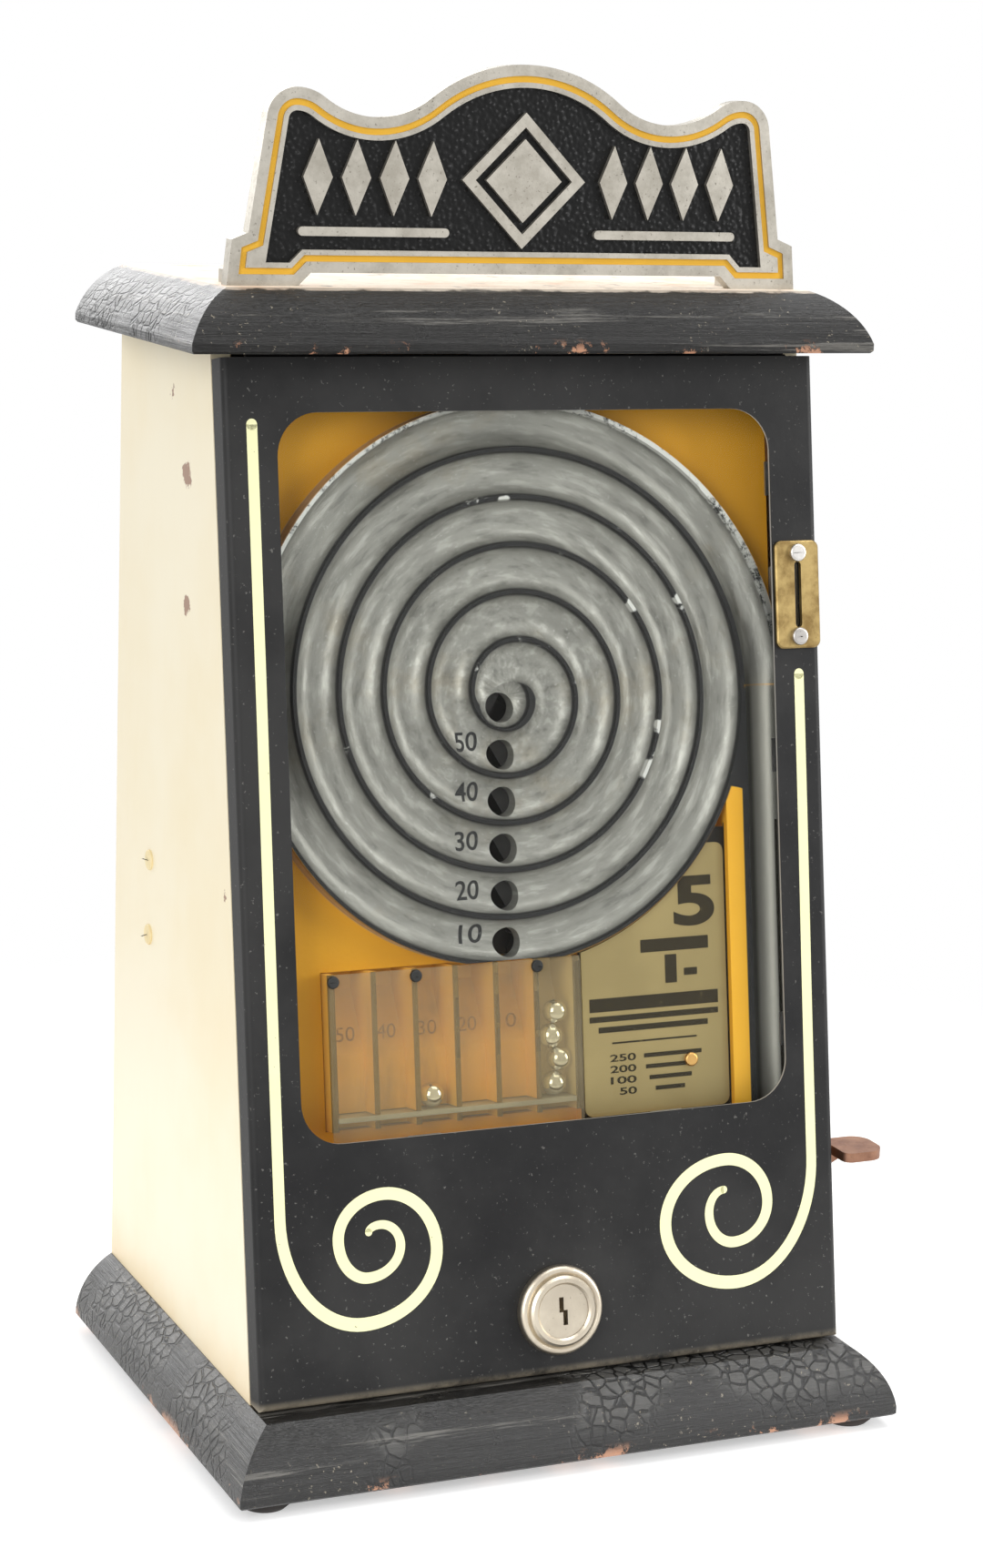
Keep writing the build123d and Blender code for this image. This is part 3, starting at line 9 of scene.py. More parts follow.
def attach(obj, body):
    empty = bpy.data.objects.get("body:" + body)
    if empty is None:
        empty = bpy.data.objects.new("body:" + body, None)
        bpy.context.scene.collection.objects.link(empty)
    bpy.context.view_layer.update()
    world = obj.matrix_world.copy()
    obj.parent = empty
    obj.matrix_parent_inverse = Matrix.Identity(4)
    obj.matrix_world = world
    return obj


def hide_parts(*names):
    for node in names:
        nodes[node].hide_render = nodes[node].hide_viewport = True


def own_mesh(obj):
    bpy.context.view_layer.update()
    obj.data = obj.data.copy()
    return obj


# %% [markdown]
# # A counter-top ball game, dressed for its photograph
# On this machine a coin frees the balls, a lever kicks one up the lane at the right, and it rolls down a
# spiral track until it drops into a scoring hole. The CAD model gives every part its true shape and
# place. This script adds what paint, print, age and light add, and leaves the solids as they are.
# Everything is in metres, in the same frame as the CAD.

# %% Load the frame
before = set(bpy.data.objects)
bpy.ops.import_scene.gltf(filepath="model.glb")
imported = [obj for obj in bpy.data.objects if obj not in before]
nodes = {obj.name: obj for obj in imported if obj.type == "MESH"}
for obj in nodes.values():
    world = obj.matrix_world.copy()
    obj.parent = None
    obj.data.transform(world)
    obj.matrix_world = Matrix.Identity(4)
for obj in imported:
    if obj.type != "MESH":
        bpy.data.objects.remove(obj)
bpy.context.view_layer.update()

# %% [markdown]
# ## The leaning front
# The front of the cabinet leans back, and the door, the casting, the columns and the card all lie
# parallel to it. Every painted or printed point could be worked out in world axes, but each number
# would then hide the lean. So they are measured as a painter would measure them, in millimetres:
# across the door, up its slope from the foot, and out from its face.

# %% Points on the door
MM = 0.001
TILT = math.radians(9.6)
DOOR_FOOT = Vector((0.0, -70.5, 25.5)) * MM
UPSLOPE = Vector((0.0, math.sin(TILT), math.cos(TILT)))
OUTWARD = Vector((0.0, -math.cos(TILT), math.sin(TILT)))


def on_door(x, s, lift=0.0):
    """Point at x mm across and s mm up the door, this many mm in front of its face."""
    return DOOR_FOOT + Vector((x * MM, 0, 0)) + UPSLOPE * (s * MM) + OUTWARD * (lift * MM)


print("foot of the door", tuple(round(c, 4) for c in on_door(0, 0)))

# %% [markdown]
# ## Camera
# The photograph was taken with a long lens, from the left and a little above, and the camera leaned about
# two degrees. A Track To constraint would aim a camera at the machine but keep it level, so the
# camera's own right, up and forward directions are worked out and written into its matrix.

# %% Camera
YAW, PITCH, ROLL = (math.radians(angle) for angle in (24.02, 12.03, 2.006))
EYE = Vector((-434.8, -975.4, 432.2)) * MM
FOCAL_PIXELS, PICTURE_WIDTH = 3667.4, 1080.0
SENSOR = 36.0
scene = bpy.context.scene
forward = Vector((math.sin(YAW) * math.cos(PITCH), math.cos(YAW) * math.cos(PITCH), -math.sin(PITCH)))
level = Vector((math.cos(YAW), -math.sin(YAW), 0.0))
above = level.cross(forward)
right = level * math.cos(ROLL) + above * math.sin(ROLL)
up = above * math.cos(ROLL) - level * math.sin(ROLL)
camera_data = bpy.data.cameras.new("Camera")
camera_data.sensor_fit = "HORIZONTAL"
camera_data.sensor_width = SENSOR
camera_data.lens = FOCAL_PIXELS * SENSOR / PICTURE_WIDTH
camera_data.clip_start = 0.05
camera = bpy.data.objects.new("Camera", camera_data)
scene.collection.objects.link(camera)
camera.matrix_world = Matrix.Translation(EYE) @ Matrix((right, up, -forward)).transposed().to_4x4()
bpy.context.scene.camera = camera
print("camera lens", round(camera_data.lens, 2))

# %% [markdown]
# ## Lamps
# The machine stood in an even, bright studio. Point lamps would give hard shadows and small hot spots on
# the black paint, so four large area lamps stand round it: a tall one left of the camera, one far right,
# one above, and a wide one behind that shines off the black ends of the planks.

# %% Lamps
AIM = Vector((0, 0, 0.2))
LAMPS = (
    ("Key", (-1.25, -1.05, 0.75), (0.7, 1.1), 14),
    ("Fill", (1.55, -0.85, 0.65), (0.6, 1.0), 17),
    ("Top", (0.4, 0.0, 1.45), (1.2, 1.0), 13),
    ("Back", (-0.3, 1.5, 0.95), (1.6, 1.0), 16),
)
for name, place, size, watts in LAMPS:
    light = bpy.data.lights.new(name, "AREA")
    light.shape = "RECTANGLE"
    light.size, light.size_y = size
    light.energy = watts
    lamp = bpy.data.objects.new(name, light)
    lamp.location = place
    lamp.rotation_euler = (AIM - Vector(place)).to_track_quat("-Z", "Y").to_euler()
    scene.collection.objects.link(lamp)
print("lamps", [name for name, *_ in LAMPS])

# %% [markdown]
# ## White surroundings
# The ground of the photograph is plain white. Stronger lamps would whiten it too, but they would also
# bleach the cream boards. So the world is white where it is looked at, straight or by way of metal
# and glass, and about half as bright where it only gives light.

# %% White surroundings
AMBIENT = 0.48
scene.view_settings.view_transform = "Standard"
world = bpy.data.worlds.new("Studio")
scene.world = world
world.use_nodes = True
tree = world.node_tree
tree.nodes.clear()
out = tree.nodes.new("ShaderNodeOutputWorld")
choice = tree.nodes.new("ShaderNodeMixShader")
for socket, strength in ((1, AMBIENT), (2, 1.0)):
    white = tree.nodes.new("ShaderNodeBackground")
    white.inputs["Color"].default_value = (1, 1, 1, 1)
    white.inputs["Strength"].default_value = strength
    tree.links.new(white.outputs[0], choice.inputs[socket])
path = tree.nodes.new("ShaderNodeLightPath")
sight = path.outputs["Is Camera Ray"]
for ray in ("Is Glossy Ray", "Is Transmission Ray"):
    either = tree.nodes.new("ShaderNodeMath")
    either.operation = "MAXIMUM"
    tree.links.new(sight, either.inputs[0])
    tree.links.new(path.outputs[ray], either.inputs[1])
    sight = either.outputs[0]
tree.links.new(sight, choice.inputs["Fac"])
tree.links.new(choice.outputs[0], out.inputs["Surface"])
print("world", world.name, "gives light at", AMBIENT)

# %% [markdown]
# ## A bench for materials
# Each finish is a node tree on one Principled surface. Wired by hand in the editor it can't be
# repeated, and wired node by node in Python the idea is lost among sockets. A small class starts the
# material and gives short words for adding to it. It is built up in four steps.


# %% A new material
class Surface:
    """A new material with one Principled surface."""

    def __init__(self, name):
        self.material = bpy.data.materials.new(name)
        self.material.use_nodes = True
        self.tree = self.material.node_tree
        self.tree.nodes.clear()
        self.out = self.node("ShaderNodeOutputMaterial")
        self.shader = self.node("ShaderNodeBsdfPrincipled")
        self.join(self.shader.outputs[0], self.out.inputs["Surface"])
        self.coords = self.node("ShaderNodeTexCoord").outputs["Object"]

    def node(self, kind, **settings):
        made = self.tree.nodes.new(kind)
        for key, value in settings.items():
            setattr(made, key, value)
        return made

    def join(self, value, socket):
        """Link an output to this socket, or set a number or a colour on it."""
        if isinstance(value, bpy.types.NodeSocket):
            self.tree.links.new(value, socket)
        elif value is not None:
            if hasattr(value, "__len__") and len(value) == 3 and len(socket.default_value) == 4:
                value = (*value, 1.0)
            socket.default_value = value

    def set(self, **values):
        for key, value in values.items():
            self.join(value, self.shader.inputs[key.replace("_", " ")])


print("class", Surface.__name__)

# %% [markdown]
# A finish is laid on through masks, numbers from 0 to 1 that say where it shows. Masks are combined by
# plain sums: two are multiplied where both must hold, and the larger is taken where either will do.


# %% Sums
class Sums(Surface):
    """Arithmetic on numbers that change over the surface."""

    def math(self, kind, a, b=None):
        made = self.node("ShaderNodeMath", operation=kind)
        self.join(a, made.inputs[0])
        self.join(b, made.inputs[1])
        return made.outputs[0]

    def times(self, product, *factors):
        for factor in factors:
            product = self.math("MULTIPLY", product, factor)
        return product

    def plus(self, a, b):
        return self.math("ADD", a, b)

    def minus(self, a, b):
        return self.math("SUBTRACT", a, b)

    def either(self, a, b):
        return self.math("MAXIMUM", a, b)

    def size_of(self, value):
        return self.math("ABSOLUTE", value)


print("class", Sums.__name__, "adds to", Surface.__name__)

# %% [markdown]
# Age shows as uneven tone: clouds, specks, streaks and cracks. Images could carry it, but they would have
# to be unwrapped and packed. Noise and cell textures in object coordinates need neither, and they keep
# their true size on every piece. A band turns a texture or a distance into a mask with a soft edge.


# %% Patterns
class Pattern(Sums):
    """Textures, masks and mixtures."""

    def stretch(self, scale):
        made = self.node("ShaderNodeMapping")
        self.join(self.coords, made.inputs["Vector"])
        made.inputs["Scale"].default_value = scale
        return made.outputs[0]

    def noise(self, scale, detail=4.0, rough=0.55, vector=None, warp=0.0):
        made = self.node("ShaderNodeTexNoise")
        self.join(vector or self.coords, made.inputs["Vector"])
        sizes = {"Scale": scale, "Detail": detail, "Roughness": rough, "Distortion": warp}
        for key, value in sizes.items():
            made.inputs[key].default_value = value
        return made.outputs["Fac"]

    def cells(self, scale, vector=None, feature="DISTANCE_TO_EDGE"):
        made = self.node("ShaderNodeTexVoronoi", feature=feature)
        self.join(vector or self.coords, made.inputs["Vector"])
        made.inputs["Scale"].default_value = scale
        return made.outputs["Distance"]

    def band(self, value, low, high):
        """0 below low, 1 above high, smooth between; swap them for the reverse."""
        made = self.node("ShaderNodeMapRange", interpolation_type="SMOOTHSTEP", clamp=True)
        self.join(value, made.inputs["Value"])
        flip = low > high
        made.inputs["From Min"].default_value = min(low, high)
        made.inputs["From Max"].default_value = max(low, high)
        made.inputs["To Min"].default_value = 1.0 if flip else 0.0
        made.inputs["To Max"].default_value = 0.0 if flip else 1.0
        return made.outputs[0]

    def past(self, value, edge, soft):
        """1 where the value is past this edge, 0 before it, blurred by this much each way."""
        return self.band(value, edge - soft, edge + soft)

    def before(self, value, edge, soft):
        return self.band(value, edge + soft, edge - soft)

    def mix(self, amount, a, b):
        """Colour a where the amount is 0, colour b where it is 1."""
        made = self.node("ShaderNodeMix", data_type="RGBA")
        for socket, value in ((0, amount), (6, a), (7, b)):
            self.join(value, made.inputs[socket])
        return made.outputs[2]

    def blend(self, amount, a, b):
        """Number a where the amount is 0, number b where it is 1."""
        made = self.node("ShaderNodeMix", data_type="FLOAT")
        for socket, value in ((0, amount), (2, a), (3, b)):
            self.join(value, made.inputs[socket])
        return made.outputs[0]


print("class", Pattern.__name__, "adds to", Sums.__name__)

# %% [markdown]
# Paint is worn at edges and dirty at the foot, so a finish has to know where on the machine it is. A dot
# product gives the distance along any direction, also along the leaning door, and another one gives
# which way the surface faces. Each is made only when a finish first asks for it.


# %% Places
class Paint(Pattern):
    """Where a point lies on the machine, in millimetres, and which way it faces."""

    def dot(self, direction, origin=(0, 0, 0)):
        away = self.node("ShaderNodeVectorMath", operation="SUBTRACT")
        self.join(self.coords, away.inputs[0])
        away.inputs[1].default_value = origin
        made = self.node("ShaderNodeVectorMath", operation="DOT_PRODUCT")
        self.join(away.outputs[0], made.inputs[0])
        made.inputs[1].default_value = Vector(direction) / MM
        return made.outputs["Value"]

    @cached_property
    def across(self):
        return self.dot((1, 0, 0))

    @cached_property
    def rearward(self):
        return self.dot((0, 1, 0))

    @cached_property
    def height(self):
        return self.dot((0, 0, 1))

    @cached_property
    def along(self):
        """Up the door's slope, from its foot."""
        return self.dot(UPSLOPE, DOOR_FOOT)

    @cached_property
    def deep(self):
        """Behind the door's face."""
        return self.dot(-OUTWARD, DOOR_FOOT)

    def facing(self, direction):
        """How far the surface faces this way, from -1 to 1."""
        geometry = self.node("ShaderNodeNewGeometry")
        made = self.node("ShaderNodeVectorMath", operation="DOT_PRODUCT")
        self.join(geometry.outputs["True Normal"], made.inputs[0])
        made.inputs[1].default_value = direction
        return made.outputs["Value"]

    def bump(self, height, distance, strength=1.0, under=None):
        made = self.node("ShaderNodeBump")
        self.join(height, made.inputs["Height"])
        made.inputs["Distance"].default_value = distance
        made.inputs["Strength"].default_value = strength
        self.join(under, made.inputs["Normal"])
        return made.outputs[0]


print("class", Paint.__name__, "adds to", Pattern.__name__)

# %% [markdown]
# ## Metal and plain paint
# Screws, lock, lever and tin work are small, but a flat grey gives them away as plastic. Each could have
# a tree of its own. They differ only in two tones, gloss and grain, so one function makes all the worn
# metals and another all the plain paints.


# %% Metal and plain paint
def wear(p, low, high, scale=900.0):
    """Fine speckle used for dust, pits and rubbed paint."""
    return p.band(p.noise(scale, 3.0, 0.7), low, high)


def metal(name, colour, dark, rough, scale=30.0, depth=0.00005, metallic=1.0):
    """Worn metal: two tones over a slow noise, fine streaks in the gloss and a fine bump."""
    p = Paint(name)
    fine = p.noise(12.0, 6.0, 0.7, vector=p.stretch((60, 60, 60)))
    tone = p.mix(p.band(p.noise(scale, 5.0, 0.6), 0.35, 0.7), colour, dark)
    tone = p.mix(wear(p, 0.66, 0.76), tone, [c * 0.45 for c in dark])
    p.set(Base_Color=tone, Metallic=metallic, Roughness=p.blend(fine, rough * 0.7, min(1.0, rough * 1.4)))
    p.set(Normal=p.bump(fine, depth))
    return p.material


def painted(name, colour, worn, rough, depth=0.00004):
    """Plain paint with slow toning, specks and a faint orange-peel bump."""
    p = Paint(name)
    tone = p.mix(p.band(p.noise(40.0, 5.0, 0.6), 0.4, 0.75), colour, worn)
    tone = p.mix(wear(p, 0.68, 0.78), tone, [c * 0.5 for c in worn])
    p.set(Base_Color=tone, Roughness=p.blend(p.noise(140.0), rough * 0.8, min(1.0, rough * 1.25)))
    p.set(Normal=p.bump(p.noise(700.0, 3.0), depth))
    return p.material


nickel = metal("Worn nickel", (0.68, 0.61, 0.49), (0.50, 0.44, 0.35), 0.34)
steel = metal("Plain steel", (0.50, 0.50, 0.50), (0.34, 0.33, 0.32), 0.42)
screw_metal = metal("Screw steel", (0.62, 0.60, 0.57), (0.36, 0.34, 0.32), 0.35)
dark_screw = metal("Blacked screw", (0.05, 0.05, 0.05), (0.02, 0.02, 0.02), 0.5)
rivet_brass = metal("Rivet brass", (0.72, 0.42, 0.14), (0.5, 0.28, 0.1), 0.35)
coin_brass = metal("Coin plate", (0.41, 0.30, 0.125), (0.20, 0.13, 0.048), 0.42, scale=150.0)
copper = metal("Lever copper", (0.36, 0.20, 0.13), (0.20, 0.10, 0.07), 0.45, scale=60.0)
ball_steel = metal("Ball steel", (0.80, 0.81, 0.83), (0.70, 0.71, 0.73), 0.08, depth=0.000002)
black_iron_and_shade = metal("Black iron and hole shade", (0.045, 0.043, 0.042), (0.02, 0.019, 0.018), 0.5, metallic=0.6)
tin = painted("Tin plate", (0.46, 0.46, 0.44), (0.34, 0.34, 0.32), 0.45)
rubber = painted("Foot rubber", (0.030, 0.026, 0.024), (0.06, 0.045, 0.04), 0.8)
felt = painted("Felt", (0.05, 0.09, 0.06), (0.03, 0.06, 0.04), 0.95, depth=0.0002)
painted_screw = painted("Painted screw", (0.86, 0.74, 0.44), (0.76, 0.58, 0.28), 0.5)
print("small finishes from", nickel.name, "to", painted_screw.name)

# %% [markdown]
# ## Cream boards and bare pine
# The sides and the back are pine boards under cream gloss paint, chipped in a few places and stained
# towards the foot; the inside was never painted. Two materials with faces assigned by hand would do, but a
# CAD mesh is not to be touched, so one material asks whether a point lies inside the cabinet.

# %% Cream boards and bare pine
INNER_HALF = 95.0
INNER_BACK = 77.0
LEFT_FACE = -101.5
CHIPS = ((14.5, 306.0, 4.2), (12.5, 265.0, 3.0), (30.0, 330.0, 1.6), (-28.0, 180.0, 1.2))


def pine_grain(p):
    """Year rings of upright boards, and their colour."""
    rings = p.noise(30.0, 5.0, 0.6, vector=p.stretch((1.5, 1.5, 0.12)))
    return rings, p.mix(rings, (0.58, 0.38, 0.20), (0.36, 0.21, 0.10))


def cream_boards():
    p = Paint("Cream paint")
    slow = p.noise(9.0, 4.0, 0.6)
    tone = p.mix(p.band(slow, 0.35, 0.7), (0.88, 0.80, 0.60), (0.85, 0.74, 0.50))
    tone = p.mix(p.band(p.noise(38.0, 6.0, 0.7), 0.70, 0.82), tone, (0.70, 0.50, 0.28))
    low = p.band(p.plus(p.height, p.times(p.noise(25.0), 40.0)), 66.0, 40.0)
    tone = p.mix(p.times(low, 0.45), tone, (0.80, 0.56, 0.28))
    ragged = p.times(p.minus(p.noise(300.0, 6.0, 0.7), 0.5), 0.011)
    chip = 0.0
    for y, z, size in CHIPS:
        away = p.node("ShaderNodeVectorMath", operation="DISTANCE")
        p.join(p.coords, away.inputs[0])
        away.inputs[1].default_value = (LEFT_FACE * MM, y * MM, z * MM)
        chip = p.either(chip, p.band(p.plus(away.outputs["Value"], ragged), size * MM, size * 0.75 * MM))
    tone = p.mix(chip, tone, (0.30, 0.16, 0.09))
    between = p.band(p.size_of(p.across), INNER_HALF + 0.3, INNER_HALF + 0.1)
    inner = p.times(between, p.band(p.rearward, INNER_BACK + 0.3, INNER_BACK + 0.1))
    tone = p.mix(inner, tone, pine_grain(p)[1])
    p.set(Base_Color=tone, Roughness=p.blend(slow, 0.3, 0.45), Coat_Weight=0.15, Coat_Roughness=0.25)
    p.set(Normal=p.bump(p.noise(160.0, 5.0, vector=p.stretch((1, 1, 0.2))), 0.00012))
    return p.material


def bare_wood():
    p = Paint("Bare pine")
    rings, tone = pine_grain(p)
    p.set(Base_Color=tone, Roughness=0.8, Normal=p.bump(rings, 0.0003))
    return p.material


cream = cream_boards()
pine = bare_wood()
print("wood", cream.name, pine.name)

# %% [markdown]
# ## Black planks
# The moulded edges of the base and the top are black paint that has cracked into cells with age and been
# knocked back to salmon-coloured wood along the lower corners. In patches, the faces turned upwards are
# painted paler grey as a painted highlight of the gloss. Modelling each crack would cost thousands of
# faces. A cell texture whose points are pushed about by noise draws them, as dark lines and as fine
# grooves in the bump.

# %% Crackle
CELLS_PER_METRE = 210.0
WANDER = 0.003


def crackle(p):
    """Distance from the nearest crack in old paint."""
    jitter = p.node("ShaderNodeTexNoise")
    p.join(p.coords, jitter.inputs["Vector"])
    jitter.inputs["Scale"].default_value = 120.0
    shrink = p.node("ShaderNodeVectorMath", operation="SCALE")
    p.join(jitter.outputs["Color"], shrink.inputs[0])
    shrink.inputs["Scale"].default_value = WANDER
    warped = p.node("ShaderNodeVectorMath", operation="ADD")
    p.join(p.coords, warped.inputs[0])
    p.join(shrink.outputs[0], warped.inputs[1])
    return p.cells(CELLS_PER_METRE, warped.outputs[0])


print("cells about", round(1000 / CELLS_PER_METRE, 1), "mm across")

# %% [markdown]
# The grain runs along each edge, so it is stretched one way on the front and the other way on the ends.
# The top plank is cream on its upper face, and the border between the two paints is ragged.

# %% Black planks
CHIP_BAND = 5.0
CREAM_LINE = 366.9


def black_edge(name, low_edge, cream_top, gloss):
    """Black paint over wood; low_edge is the height in mm where bare chips begin to thin out."""
    p = Paint(name)
    ends = p.band(p.size_of(p.facing((1, 0, 0))), 0.45, 0.6)
    grain_x = p.noise(60.0, 7.0, 0.75, vector=p.stretch((0.10, 1.6, 3.2)))
    grain_y = p.noise(60.0, 7.0, 0.75, vector=p.stretch((1.6, 0.10, 3.2)))
    grain = p.blend(ends, grain_x, grain_y)
    patch = p.band(p.noise(18.0, 3.0), 0.48, 0.58)
    if cream_top:
        patch = p.times(patch, ends)
    crack = p.times(p.band(crackle(p), 0.12, 0.02), patch)
    tone = p.mix(p.noise(90.0, 5.0), (0.004, 0.004, 0.004), (0.013, 0.012, 0.011))
    # Upward faces in the patches are painted paler grey: a painted highlight on the crown of the moulding.
    rubbed_and_sheen = p.times(patch, p.band(p.facing((0, 0, 1)), 0.25, 0.6), 0.8)
    tone = p.mix(rubbed_and_sheen, tone, (0.085, 0.083, 0.078))
    tone = p.mix(crack, tone, (0.003, 0.003, 0.003))
    streak = p.times(p.band(grain, 0.56, 0.65), 0.6)
    tone = p.mix(streak, tone, (0.21, 0.20, 0.18))
    specks = p.times(wear(p, 0.64, 0.70, 650.0), p.band(p.noise(30.0, 3.0), 0.42, 0.6), 0.6)
    tone = p.mix(specks, tone, (0.42, 0.37, 0.28))
    near_edge = p.band(p.height, low_edge + CHIP_BAND, low_edge)
    chip_size, chip_from = (55.0, 0.60) if cream_top else (42.0, 0.55)
    bare = p.times(p.band(p.noise(chip_size, 7.0, 0.75), chip_from, chip_from + 0.025), near_edge)
    bare = p.either(bare, p.times(p.band(p.noise(75.0, 6.0, 0.8), 0.725, 0.745), 0.9))
    tone = p.mix(bare, tone, p.mix(grain, (0.70, 0.36, 0.22), (0.44, 0.22, 0.13)))
    rough = p.blend(p.either(streak, p.noise(60.0)), 0.18, 0.42)
    if cream_top:
        border = p.plus(p.height, p.times(p.noise(130.0, 5.0), 3.0))
        top = p.times(p.band(p.facing((0, 0, 1)), 0.90, 0.97), p.band(border, CREAM_LINE, CREAM_LINE + 0.7))
        soil = p.band(p.noise(30.0, 6.0, 0.7), 0.45, 0.75)
        tone = p.mix(top, tone, p.mix(soil, (0.92, 0.80, 0.66), (0.74, 0.50, 0.34)))
        rough = p.blend(top, rough, 0.5)
    p.set(Base_Color=tone, Roughness=rough, Specular_IOR_Level=gloss)
    low = p.bump(grain, 0.0013, 0.9)
    p.set(Normal=p.bump(p.minus(p.times(crack, -1.0), bare), 0.0004, 0.9, under=low))
    return p.material


base_black = black_edge("Base black", 4.0, False, 0.55)
top_black = black_edge("Top black", 347.5, True, 0.25)
print("planks", base_black.name, top_black.name)

# %% [markdown]
# ## Door
# The door is folded sheet, matte black, with dust and long fine scratches. The cut edge round the window
# is rubbed bright. The foot, where it meets the base, is painted paler: partly scuffs and partly a painted
# highlight on the lower bend. An edge mask baked from the mesh would be lost when the model changes size,
# so the depth behind the door's face finds the cut edge.

# %% Door
HALF_SHEET = 0.55


def door_black():
    p = Paint("Door black")
    slow = p.noise(14.0, 5.0, 0.6)
    tone = p.mix(p.band(slow, 0.3, 0.7), (0.006, 0.006, 0.0065), (0.027, 0.0265, 0.026))
    scratch = p.band(p.noise(16.0, 8.0, 0.8, vector=p.stretch((14, 14, 1.2)), warp=0.4), 0.70, 0.78)
    tone = p.mix(p.times(scratch, 0.4), tone, (0.16, 0.15, 0.14))
    dust = p.band(p.noise(700.0, 2.0, 0.7), 0.66, 0.74)
    tone = p.mix(p.times(dust, 0.35), tone, (0.30, 0.29, 0.27))
    edge = p.times(p.band(p.size_of(p.minus(p.deep, HALF_SHEET)), 0.5, 0.3), 0.8)
    window = p.times(p.band(p.size_of(p.across), 90.0, 86.0), p.band(p.along, 60.0, 70.0))
    tone = p.mix(p.times(edge, window), tone, (0.52, 0.50, 0.45))
    # The foot is painted paler: partly scuffs and dust, partly a painted highlight on the lower bend.
    scuff_and_highlight = p.times(p.band(p.along, 4.5, 1.0), p.band(p.noise(45.0, 6.0, 0.75), 0.30, 0.6), 0.85)
    tone = p.mix(scuff_and_highlight, tone, (0.36, 0.31, 0.23))
    p.set(Base_Color=tone, Roughness=p.blend(slow, 0.42, 0.6), Specular_IOR_Level=0.25)
    p.set(Normal=p.bump(p.noise(520.0, 4.0), 0.00005))
    return p.material


door_paint = door_black()
print("door", door_paint.name)

# %% [markdown]
# ## Glass
# The window is thin glass, and the cover of the columns is old clear sheet that has yellowed and gone
# hazy. A glass shader would bend the light at each face and darken what lies behind, which a sheet this
# thin hardly does. Transparent, a little haze and a little gloss are mixed instead.


# %% Glass
def clear_glass(name, tint, gloss, haze):
    p = Paint(name)
    cloud = p.noise(26.0, 5.0, 0.65)
    through = p.node("ShaderNodeBsdfTransparent")
    p.join(p.mix(cloud, tint, [c * 0.97 for c in tint]), through.inputs["Color"])
    shine = p.node("ShaderNodeBsdfGlossy")
    p.join(p.blend(p.noise(300.0), 0.03, 0.08), shine.inputs["Roughness"])
    body = p.node("ShaderNodeBsdfDiffuse")
    p.join(p.mix(cloud, (0.72, 0.60, 0.40), (0.50, 0.42, 0.28)), body.inputs["Color"])
    hazed = p.node("ShaderNodeMixShader")
    for value, socket in ((p.times(cloud, haze * 2.0), 0), (through.outputs[0], 1), (body.outputs[0], 2)):
        p.join(value, hazed.inputs[socket])
    glossed = p.node("ShaderNodeMixShader")
    for value, socket in ((gloss, 0), (hazed.outputs[0], 1), (shine.outputs[0], 2)):
        p.join(value, glossed.inputs[socket])
    p.join(glossed.outputs[0], p.out.inputs["Surface"])
    return p.material


cover_sheet = clear_glass("Column cover", (0.97, 0.94, 0.84), 0.010, 0.13)
window_glass = clear_glass("Window glass", (0.985, 0.99, 0.985), 0.006, 0.001)
print("glass", cover_sheet.name, window_glass.name)

# %% [markdown]
# ## Playfield casting
# One aluminium casting has three finishes: the ball track is bare and greyed by handling, the narrow
# ridges between its turns are black, and all the rest is deep yellow. Splitting the casting by colour
# would cut up a piece that is whole, so its material finds the spiral by the rule that drew it: the
# edge comes in by one pitch in a full turn.

# %% The spiral's rule
SPIRAL_X, SPIRAL_S = -4.9, 218.0
SPIRAL_REACH, SPIRAL_PITCH = 97.3, 15.0
FULL_TURN = 2 * math.pi


def spiral(p):
    """Offsets from the centre, the radius, and how far the track reaches at this angle, in mm."""
    dx, dy = p.minus(p.across, SPIRAL_X), p.minus(p.along, SPIRAL_S)
    radius = p.math("SQRT", p.plus(p.times(dx, dx), p.times(dy, dy)))
    angle = p.math("ARCTAN2", dy, dx)
    angle = p.plus(angle, p.times(p.math("LESS_THAN", angle, 0.0), FULL_TURN))
    limit = p.minus(SPIRAL_REACH, p.times(angle, SPIRAL_PITCH / FULL_TURN))
    return dx, dy, radius, limit


print("spiral reach", SPIRAL_REACH, "mm, pitch", SPIRAL_PITCH, "mm")

# %% [markdown]
# Balls have polished the track along its length. Its sides, up towards the ridges, are darkened: partly
# grime and partly painted shade. Noise laid on the plain plane would cross the turns, so its coordinates
# are bent round the centre: the direction from the centre gives two of them and the radius the third. The
# lane at the right is painted dark at its sides as painted shade, with a painted highlight down its middle.

# %% Track metal
LANE_MIDDLE = 85.2


